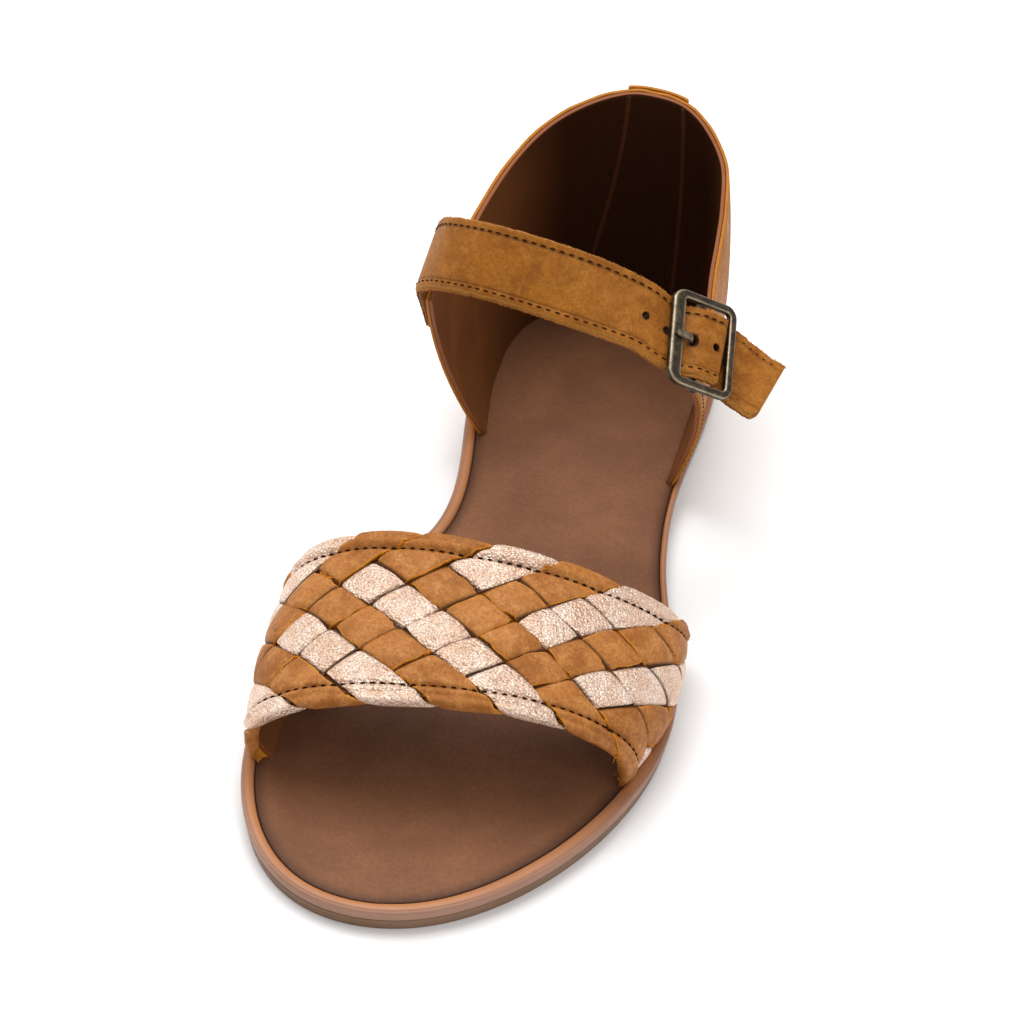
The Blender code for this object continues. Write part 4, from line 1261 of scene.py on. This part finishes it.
class Strap:
    """The strap's outer face by distance along and across it."""

    def __init__(self):
        self.stations = strap_stations()
        distances = self.stations[0]
        self.first, self.last = distances[0], distances[-1]
        # Samples of the medial arm's outer face, for the sewn end that lies on it.
        place, share = np.meshgrid(np.linspace(0, 2.6, 40), np.linspace(0.3, 1.0, 60))
        self.arm = counter_point(place.ravel(), share.ravel())
        self.arm_normals = counter_normal(place.ravel(), share.ravel())
        self.tree = kdtree.KDTree(len(self.arm))
        for i, p in enumerate(self.arm):
            self.tree.insert(p, i)
        self.tree.balance()

    def settled(self, points, distance, depth):
        """Points near the sewn end moved onto the arm; depth is measured from the strap's back."""
        points = points.copy()
        flat = points.reshape(-1, 3)
        distances, depths = distance.ravel(), np.broadcast_to(depth, distance.shape).ravel()
        for k in np.where(distances < self.first + LAP_END)[0]:
            i = self.tree.find(flat[k])[1]
            normal = self.arm_normals[i]
            height = (flat[k] - self.arm[i]) @ normal
            pull = 1 - smooth((distances[k] - self.first - LAP_FLAT) / (LAP_END - LAP_FLAT))
            flat[k] += normal * (0.08 + depths[k] - height) * pull
        return flat.reshape(points.shape)

    def frame(self, distance):
        """Point, direction across and outward direction at a distance from the buckle."""
        distances, points, across, out = self.stations
        distance = np.asarray(distance, float)
        place = np.interp(distance, distances, np.arange(len(distances)))
        point = through(points, place)
        across = unit(through(across, place))
        out = unit(through(out, place))
        # It rises gently from the front bar and bends down sharply before the far one.
        near_share = np.cos(np.pi * distance / (2 * BUCKLE_REACH)) ** 2
        far_share = 1 - smooth((distance / BUCKLE_REACH - 0.60) / 0.34)
        rise = WEAVE_RISE * np.where(distance < 0, near_share, far_share)
        rise = np.where(np.abs(distance) < BUCKLE_REACH, rise, 0.0)
        return point + out * rise[..., None], across, out

    def point(self, distance, offset, height):
        """A point by its distance along, offset across and height over the outer face."""
        point, across, out = self.frame(distance)
        points = (point + across * np.asarray(offset)[..., None]
                  + out * np.asarray(height)[..., None])
        return self.settled(points, distance, height + STRAP_OUTER + STRAP_LINING)


def strap_outline_shift(offset):
    """How far the free tip's lower corner is rounded back."""
    near = np.clip((-offset - (STRAP_WIDTH / 2 - 3.2)) / 3.2, 0, 1)
    return TIP_CORNER * (1 - np.sqrt(np.clip(1 - near ** 2, 0, 1)))


def build_strap_layers(strap):
    """The tan layer and its backing, with the buckle holes."""
    half_width = STRAP_WIDTH / 2
    length = strap.last - strap.first
    along = edge_rows(strap.first, strap.last, int(length / STRAP_FINE), length)
    seam = half_width - STITCH_INSET + np.array([-0.8, -0.5, -0.25, 0.0, 0.25, 0.5, 0.8])
    columns = np.sort(np.concatenate([edge_rows(-half_width, half_width, 20, STRAP_WIDTH, 0.7),
                                      seam, -seam]))
    distance, offset = np.meshgrid(along, columns, indexing="ij")
    share = smooth((distance - (strap.last - 12)) / 12)
    distance = distance - strap_outline_shift(offset) * share
    border = np.minimum(half_width - np.abs(offset),
                        np.minimum(distance - strap.first, strap.last - distance))
    fall = rolled(border, 0.7, 0.5)
    # Both long edges are cut a little unevenly.
    chance = np.random.default_rng(11)
    jag = chance.normal(0, 0.07, (len(along), 2))
    jag += 0.10 * np.sin(along * 0.9)[:, None] * np.array([1, -0.7])
    ragged = offset + np.where(offset > 0, jag[:, :1], jag[:, 1:]) * smooth(
        (np.abs(offset) - half_width + 0.8) / 0.8)
    sewn = np.exp(-((half_width - np.abs(offset) - STITCH_INSET) / 0.42) ** 2)
    crown = 0.16 * (1 - (offset / half_width) ** 2)
    low = smooth((-offset - 5.0) / (half_width - 5.5))
    # Painted shade darkens the steep bend beside the buckle's far bar, where the strap dives under
    # it.
    crevice_shade = 0.85 * np.exp(-((distance - 0.92 * BUCKLE_REACH) / (0.14 * BUCKLE_REACH)) ** 4)
    worn = 0.75 * np.clip(1 - border / 0.6, 0, 1)

    def layer(name, material, slot, middle, half, inset, slopes, dip, lift, deep, bulge):
        """One layer; slopes move its outer and inner face outward along the lower edge."""
        wide = ragged * (1 - inset / half_width)
        top = strap.point(distance, wide + slopes[0] * low, middle + half * fall - dip + lift)
        bottom = strap.point(distance, wide + slopes[1] * low, middle - half * fall + lift * 0.5)
        build = Build()
        build.slab(top, bottom, bulge=bulge, worn=worn, deep=deep)
        return build.make(name, material, slot, "ankle_strap")

    # The lower cut edge slopes outward, so the raw side of the leather shows.
    pieces = [
        # The tan layer's painted shade runs along its sewn lines and in that bend.
        layer("strap_leather", STRAP_TAN, "tan_leather", -STRAP_OUTER / 2, STRAP_OUTER / 2,
              0.55, (0.50, -0.55), 0.20 * sewn, crown, np.maximum(0.42 * sewn, crevice_shade), 0.5),
        layer("strap_backing", LINING, "lining_leather", -STRAP_OUTER - STRAP_LINING / 2 - 0.02,
              STRAP_LINING / 2, 0.60, (-0.55, -0.35), 0.0, crown * 0.6, 0 * sewn, 0.1),
    ]
    punch_holes(pieces, strap)


def build_strap_sewing(strap):
    """A row of stitches along each edge, broken at the buckle, and a box at the sewn end."""
    sewing = Build()
    inset = STRAP_WIDTH / 2 - STITCH_INSET
    for sign in (-1, 1):
        for first, last, radius, sink in (
                (strap.first + LAP_STITCHES[0], 0.6 * BUCKLE_REACH, 0.22, 0.15),
                (BUCKLE_REACH + 1.5, strap.last - 2.4, 0.17, 0.30)):
            goals = np.linspace(first, last, 500)
            points = strap.point(goals, sign * inset, -0.02)
            stitch_line(sewing, points, strap.frame(goals)[2], STITCH_PITCH, share=0.60,
                        radius=radius, sag=sink)
    across = np.linspace(-inset + 1.2, inset - 1.2, 80)
    for step in LAP_STITCHES:
        goals = np.full(80, strap.first + step)
        points = strap.point(goals, across, 0.06)
        stitch_line(sewing, points, strap.frame(goals)[2], STITCH_PITCH, share=0.62, radius=0.22)
    sewing.make("strap_stitching", THREAD, "thread", "ankle_strap")


def build_strap_fibres(strap):
    """Loose fibres along both raw edges, longer along the lower one."""
    loose = Build()
    goals = np.linspace(strap.first + 1, strap.last - 1, 500)
    for sign, inset, length, depth in ((-1, 0.15, 0.66, -0.7), (1, 0.50, 0.50, 0.1)):
        points = strap.point(goals, sign * (STRAP_WIDTH / 2 - inset), depth)
        across, out = strap.frame(goals)[1:]
        fibres(loose, points, out, across * sign, 800, seed=20 + sign, length=length, radius=0.08)
    loose.make("strap_edge_fibres", STRAP_TAN, "tan_leather", "ankle_strap")


def mark_hole(mesh, point, out, radius):
    """Paints shade on the wall of one hole, so that it is dark."""
    spots = np.zeros(3 * len(mesh.vertices))
    mesh.vertices.foreach_get("co", spots)
    offsets = spots.reshape(-1, 3) - point
    heights = offsets @ out
    from_axis = np.linalg.norm(offsets - heights[:, None] * out, axis=1)
    wall = (np.abs(from_axis - radius) < 0.06 * radius) & (np.abs(heights) < 5 * MM)
    deep = np.zeros(len(mesh.vertices))
    mesh.attributes["deep"].data.foreach_get("value", deep)
    mesh.attributes["deep"].data.foreach_set("value", np.where(wall, 1.0, deep))


def punch_holes(pieces, strap):
    """Cuts the buckle holes through both layers and paints shade on their walls."""
    punch = Build()
    angles = np.linspace(0, 2 * math.pi, HOLE_SIDES + 1)[:-1]
    holes = []
    for step, radius in ((-2, HOLE_RADIUS), (-1, HOLE_RADIUS), (0, PRONG_HOLE_RADIUS),
                         (1, HOLE_RADIUS)):
        point, across, out = strap.frame(np.array(PRONG_HOLE + step * HOLE_PITCH))
        along = np.cross(across, out)
        ring = np.outer(np.cos(angles), along) + np.outer(np.sin(angles), across)
        ring_stack(punch, [point + out * height + ring * radius for height in (-5.0, 4.0)])
        holes.append((to_row(point), out, radius * MM))
    tool = linked("punch", punch.mesh("punch"))
    for piece in pieces:
        modifier = piece.modifiers.new("holes", "BOOLEAN")
        modifier.operation = "DIFFERENCE"
        modifier.solver = "EXACT"
        modifier.object = tool
        bpy.context.view_layer.update()
        result = bpy.data.meshes.new_from_object(
            piece.evaluated_get(bpy.context.evaluated_depsgraph_get()))
        piece.modifiers.clear()
        piece.data = result
        result.set_sharp_from_angle(angle=math.radians(SHARP_ANGLE))
        for point, out, radius in holes:
            mark_hole(result, point, out, radius)
    bpy.data.objects.remove(tool, do_unlink=True)


# ==== buckle ===================================================================================
def buckle_axes():
    """The buckle's frame as a matrix from its local millimetres to the sandal's."""
    along = BUCKLE_ALONG.normalized()
    across = (BUCKLE_ACROSS - along * BUCKLE_ACROSS.dot(along)).normalized()
    out = along.cross(across)
    middle = Vector(STRAP_ROWS[BUCKLE_ROW][:3]) + out * BUCKLE_LIFT
    return axes_matrix((along, across, out), middle)


def placed(matrix, frames):
    """The points, side vectors and up vectors of local frames, in the sandal's frame."""
    turn = matrix.to_3x3()
    return ([tuple(matrix @ Vector(p)) for p, a, b in frames],
            [tuple(turn @ Vector(a)) for p, a, b in frames],
            [tuple(turn @ Vector(b)) for p, a, b in frames])


def flat_frames(route, side):
    """Frames along a route that lies in a plane square to its side vector."""
    frames = []
    for i, point in enumerate(route):
        before, after = route[max(i - 1, 0)], route[min(i + 1, len(route) - 1)]
        tangent = Vector([b - a for a, b in zip(before, after)]).normalized()
        frames.append((point, side, tuple(tangent.cross(Vector(side)))))
    return frames


def oval(width, height, sides, power):
    """A rounded-box section, fuller than an ellipse where power is under one."""
    angle = 2 * np.pi * (np.arange(sides) + 0.5) / sides
    x, y = np.cos(angle), np.sin(angle)
    return np.stack([np.sign(x) * np.abs(x) ** power * width / 2,
                     np.sign(y) * np.abs(y) ** power * height / 2], 1)


def buckle_outline():
    """Local frames round the buckle's rectangle and its width there, wider at the front bar."""
    half_x = BUCKLE_REACH
    half_y = (BUCKLE_WIDTH - BUCKLE_BAR) / 2
    radius = BUCKLE_CORNER - BUCKLE_BAR / 2
    frames, widths = [], []
    for cx, cy, start in ((half_x, half_y, 0), (-half_x, half_y, 90), (-half_x, -half_y, 180),
                          (half_x, -half_y, 270)):
        for i in range(13):
            angle = math.radians(start + 7.5 * i)
            side = (math.cos(angle), math.sin(angle), 0)
            x = cx - math.copysign(radius, cx) + radius * side[0]
            y = cy - math.copysign(radius, cy) + radius * side[1]
            frames.append(((x, y, 0), side, (0, 0, 1)))
            front = max(0.0, -side[0]) ** 2
            widths.append(BUCKLE_BAR + (BUCKLE_FLAT - BUCKLE_BAR) * front)
    dense, dense_widths = [], []
    for k in range(len(frames)):
        after = (k + 1) % len(frames)
        (p, a, b), (q, c, _) = frames[k], frames[after]
        parts = max(1, int(math.dist(p, q) / 1.5))
        for m in range(parts):
            share = m / parts
            dense.append((tuple(u + (v - u) * share for u, v in zip(p, q)),
                          tuple(Vector(a).lerp(Vector(c), share).normalized()), b))
            dense_widths.append(widths[k] + (widths[after] - widths[k]) * share)
    return dense, dense_widths


def build_buckle(matrix):
    """The rectangular frame and its dropped centre bar."""
    frames, widths = buckle_outline()
    path, sides, ups = placed(matrix, frames)
    section = 20
    angle = 2 * np.pi * (np.arange(section) + 0.5) / section
    # Worn where the section turns from its face to its sides.
    wear = np.clip(np.minimum(np.abs(np.cos(angle)), np.abs(np.sin(angle))) * 2.2 - 0.55, 0, 1)
    wear = wear * (np.sin(angle) > -0.2)
    build = Build()
    build.tube(path, sides, ups,
               lambda i: oval(widths[i] + 0.35, BUCKLE_BAR + 0.15, section, 0.55),
               closed=True, edge=np.tile(wear, len(path)))

    # The centre bar leaves one long side, drops, crosses under the strap and comes up again.
    reach = (BUCKLE_WIDTH - BUCKLE_BAR) / 2 - 0.2
    bend = 1.0
    turn = [(0, reach, 0.2), (0, reach, -CENTRE_BAR_DROP + bend)]
    turn += [(0, reach - bend * (1 - math.cos(a)), -CENTRE_BAR_DROP + bend - bend * math.sin(a))
             for a in np.radians((15, 30, 45, 60, 75, 90))]
    route = turn + [(0, -y, z) for _, y, z in reversed(turn)]
    path, sides, ups = placed(matrix, flat_frames(route, (1, 0, 0)))
    build.tube(path, sides, ups, lambda i: oval(CENTRE_BAR, CENTRE_BAR, 14, 0.9), edge=0.3)
    build.make("buckle_frame_brass", BRASS, "antique_brass", "buckle_frame", angle=50)


def build_prong(matrix):
    """The prong: curled round the centre bar, up through its hole and onto the front bar."""
    radius = CENTRE_BAR / 2 + GAP + PRONG_WALL / 2
    curl = [math.radians(115 - 265 * i / 23) for i in range(24)]
    route = [(radius * math.cos(a), -CENTRE_BAR_DROP + radius * math.sin(a)) for a in curl]
    rows = [route[-1]] + PRONG_SHANK
    shank = through(rows, np.arange(1, (len(rows) - 1) * 6 + 1) / 6)
    route = [(x, 0, z) for x, z in route + [tuple(p) for p in shank]]
    path, sides, ups = placed(matrix, flat_frames(route, (0, 1, 0)))
    tip = len(path) - len(PRONG_TIP)

    def section(i):
        taper = 1.0 if i < tip else PRONG_TIP[i - tip]
        return oval(PRONG_WIDTH * taper, PRONG_WALL * (0.5 + 0.5 * taper), 14, 0.7)
    build = Build()
    build.tube(path, sides, ups, section, edge=0.45)
    build.make("buckle_prong_brass", BRASS, "antique_brass", "buckle_prong", angle=50)


def tab_rows(matrix):
    """Rows of points across the tab's middle: up the arm's outside, round the bar, down inside."""
    bar = np.array(matrix @ Vector((0, 0, -CENTRE_BAR_DROP)))
    axis = np.array(matrix.to_3x3() @ Vector((0, 1, 0)))
    outside = TAB_GAP + TAB_WALL / 2
    inside = -COUNTER_WALL - outside
    arm = counter_point(sum(TAB_RIBS) / 2, 1.0) - bar
    down = unit(arm - axis * arm.dot(axis))
    out = np.cross(down, axis)
    shares = np.linspace(0, 1, TAB_COLUMNS)
    ribs = TAB_RIBS[0] + (TAB_RIBS[1] - TAB_RIBS[0]) * shares

    def leg(heights, distance):
        return [counter_offset(ribs, share, distance) for share in heights]
    loop = []
    for angle in np.linspace(0, math.pi, 9):
        around = out * math.cos(angle) - down * math.sin(angle)
        loop.append(bar + around * (CENTRE_BAR / 2 + outside)
                    + np.outer(TAB_WIDTH * (shares - 0.5), axis))
    return np.array(leg(TAB_LEG, outside) + loop + leg(TAB_LEG[::-1], inside))


def build_tab(matrix):
    """A folded leather tab: one leg on each face of the lateral arm, its loop round the bar."""
    rows = tab_rows(matrix)
    fine = np.linspace(0, len(rows) - 1, 64)
    grid = np.stack([through(rows[:, c], fine) for c in range(TAB_COLUMNS)], 1)
    grid = 0.25 * np.roll(grid, 1, 0) + 0.5 * grid + 0.25 * np.roll(grid, -1, 0)
    grid[0], grid[-1] = rows[0], rows[-1]
    normal = unit(np.cross(np.gradient(grid, axis=1), np.gradient(grid, axis=0)))
    build = Build()

    def across(field, span, goals):
        """A field's rows in a span, each sampled across the tab."""
        return np.stack([through(row, goals) for row in field[span]], 0)

    def part(span, low, high):
        """The tab's rows in a span, between two shares of its width."""
        goals = np.linspace(low, high, 9) * (TAB_COLUMNS - 1)
        piece = across(grid, span, goals)
        width = np.linalg.norm(piece[:, -1] - piece[:, 0], axis=1)[:, None]
        place = np.abs(np.linspace(0, 1, 9)[None] - 0.5)
        fall = rolled((0.5 - place) * width, 0.5, 0.6)[..., None]
        half = unit(across(normal, span, goals)) * TAB_WALL / 2 * fall
        build.slab(piece + half, piece - half, bulge=0.06)

    # The slot for the prong's curl parts the loop into two halves.
    slot_half = TAB_SLOT / 2 / TAB_WIDTH
    start, end = TAB_SLOT_ROWS
    first, last = np.where((fine > start) & (fine < end))[0][[0, -1]]
    for span, low, high in ((slice(0, first + 1), 0.0, 1.0),
                            (slice(first, last + 1), 0.0, 0.5 - slot_half),
                            (slice(first, last + 1), 0.5 + slot_half, 1.0),
                            (slice(last, len(grid)), 0.0, 1.0)):
        part(span, low, high)
    build.make("buckle_tab_leather", STRAP_TAN, "tan_leather", "buckle_tab")


# ==== stage ====================================================================================
def build_floor():
    """A plain pale floor that melts into the backdrop far from the sandal."""
    floor = Nodes("studio_floor")
    tone = floor.noise(3.0, 2, 0.5)
    colour = floor.mix(floor.remap(tone, 0.3, 0.7), (0.90, 0.90, 0.90), (0.92, 0.92, 0.92))
    reach = floor.new("ShaderNodeVectorMath", operation="LENGTH")
    floor.link(floor.place, reach.inputs[0])
    floor.link(floor.remap(reach.outputs["Value"], *FLOOR_GLOW),
               floor.shader.inputs["Emission Strength"])
    floor.finish(colour, 0.9, None, **{"Emission Color": (1.0, 1.0, 1.0, 1.0)})
    mesh = bpy.data.meshes.new("floor")
    corners = [(-1, -1), (1, -1), (1, 1), (-1, 1)]
    mesh.from_pydata([(x * FLOOR_HALF, y * FLOOR_HALF, 0) for x, y in corners], [],
                     [(0, 1, 2, 3)])
    mesh.materials.append(floor.material)
    linked("floor", mesh)


def build_world():
    """Soft white light from all round, and a white backdrop."""
    world = bpy.data.worlds.new("studio")
    bpy.context.scene.world = world
    world.use_nodes = True
    tree = world.node_tree
    background = tree.nodes["Background"]
    backdrop = tree.nodes.new("ShaderNodeBackground")
    for node, strength in ((background, WORLD_LIGHT), (backdrop, 1.0)):
        node.inputs["Color"].default_value = (1.0, 1.0, 1.0, 1)
        node.inputs["Strength"].default_value = strength
    path = tree.nodes.new("ShaderNodeLightPath")
    pick = tree.nodes.new("ShaderNodeMixShader")
    tree.links.new(path.outputs["Is Camera Ray"], pick.inputs[0])
    tree.links.new(background.outputs[0], pick.inputs[1])
    tree.links.new(backdrop.outputs[0], pick.inputs[2])
    tree.links.new(pick.outputs[0], tree.nodes["World Output"].inputs["Surface"])


def build_lights():
    """Three softboxes turned to the sandal, and plain colour handling."""
    for name, place, size, power in SOFTBOXES:
        data = bpy.data.lights.new(name, "AREA")
        data.shape = "RECTANGLE"
        data.size, data.size_y = size
        data.energy = power
        light = linked(name, data)
        light.location = place
        aim = Vector(LIGHT_TARGET) - Vector(place)
        light.rotation_euler = aim.to_track_quat("-Z", "Y").to_euler()
    view = bpy.context.scene.view_settings
    view.view_transform = "Standard"
    view.look = "None"
    view.exposure = 0.0
    view.gamma = 1.0


def build_camera():
    """The camera, tilted a little about its view."""
    data = bpy.data.cameras.new("camera")
    data.lens = CAMERA_LENS
    data.sensor_width = 36.0
    data.clip_start, data.clip_end = 0.05, 20.0
    back = (Vector(CAMERA_PLACE) - Vector(CAMERA_TARGET)).normalized()
    level = Vector((0, 0, 1)).cross(back).normalized()
    upright = back.cross(level)
    roll = math.radians(CAMERA_ROLL)
    right = level * math.cos(roll) + upright * math.sin(roll)
    camera = linked("camera", data)
    camera.matrix_world = axes_matrix((right, back.cross(right), back), CAMERA_PLACE)
    bpy.context.scene.camera = camera


def main():
    """The sandal from the sole up, and the stage."""
    loop = spline_loop(OUTLINE, LOOP_POINTS)
    build_sole(loop)
    surface = BandSurface(loop)
    build_braid(surface)
    build_band_sewing(surface)
    build_band_lining(surface)
    build_counter()
    build_back_strip()
    strap = Strap()
    build_strap_layers(strap)
    build_strap_sewing(strap)
    build_strap_fibres(strap)
    matrix = buckle_axes()
    build_buckle(matrix)
    build_prong(matrix)
    build_tab(matrix)
    build_floor()
    build_world()
    build_lights()
    build_camera()
    bpy.context.view_layer.update()


main()
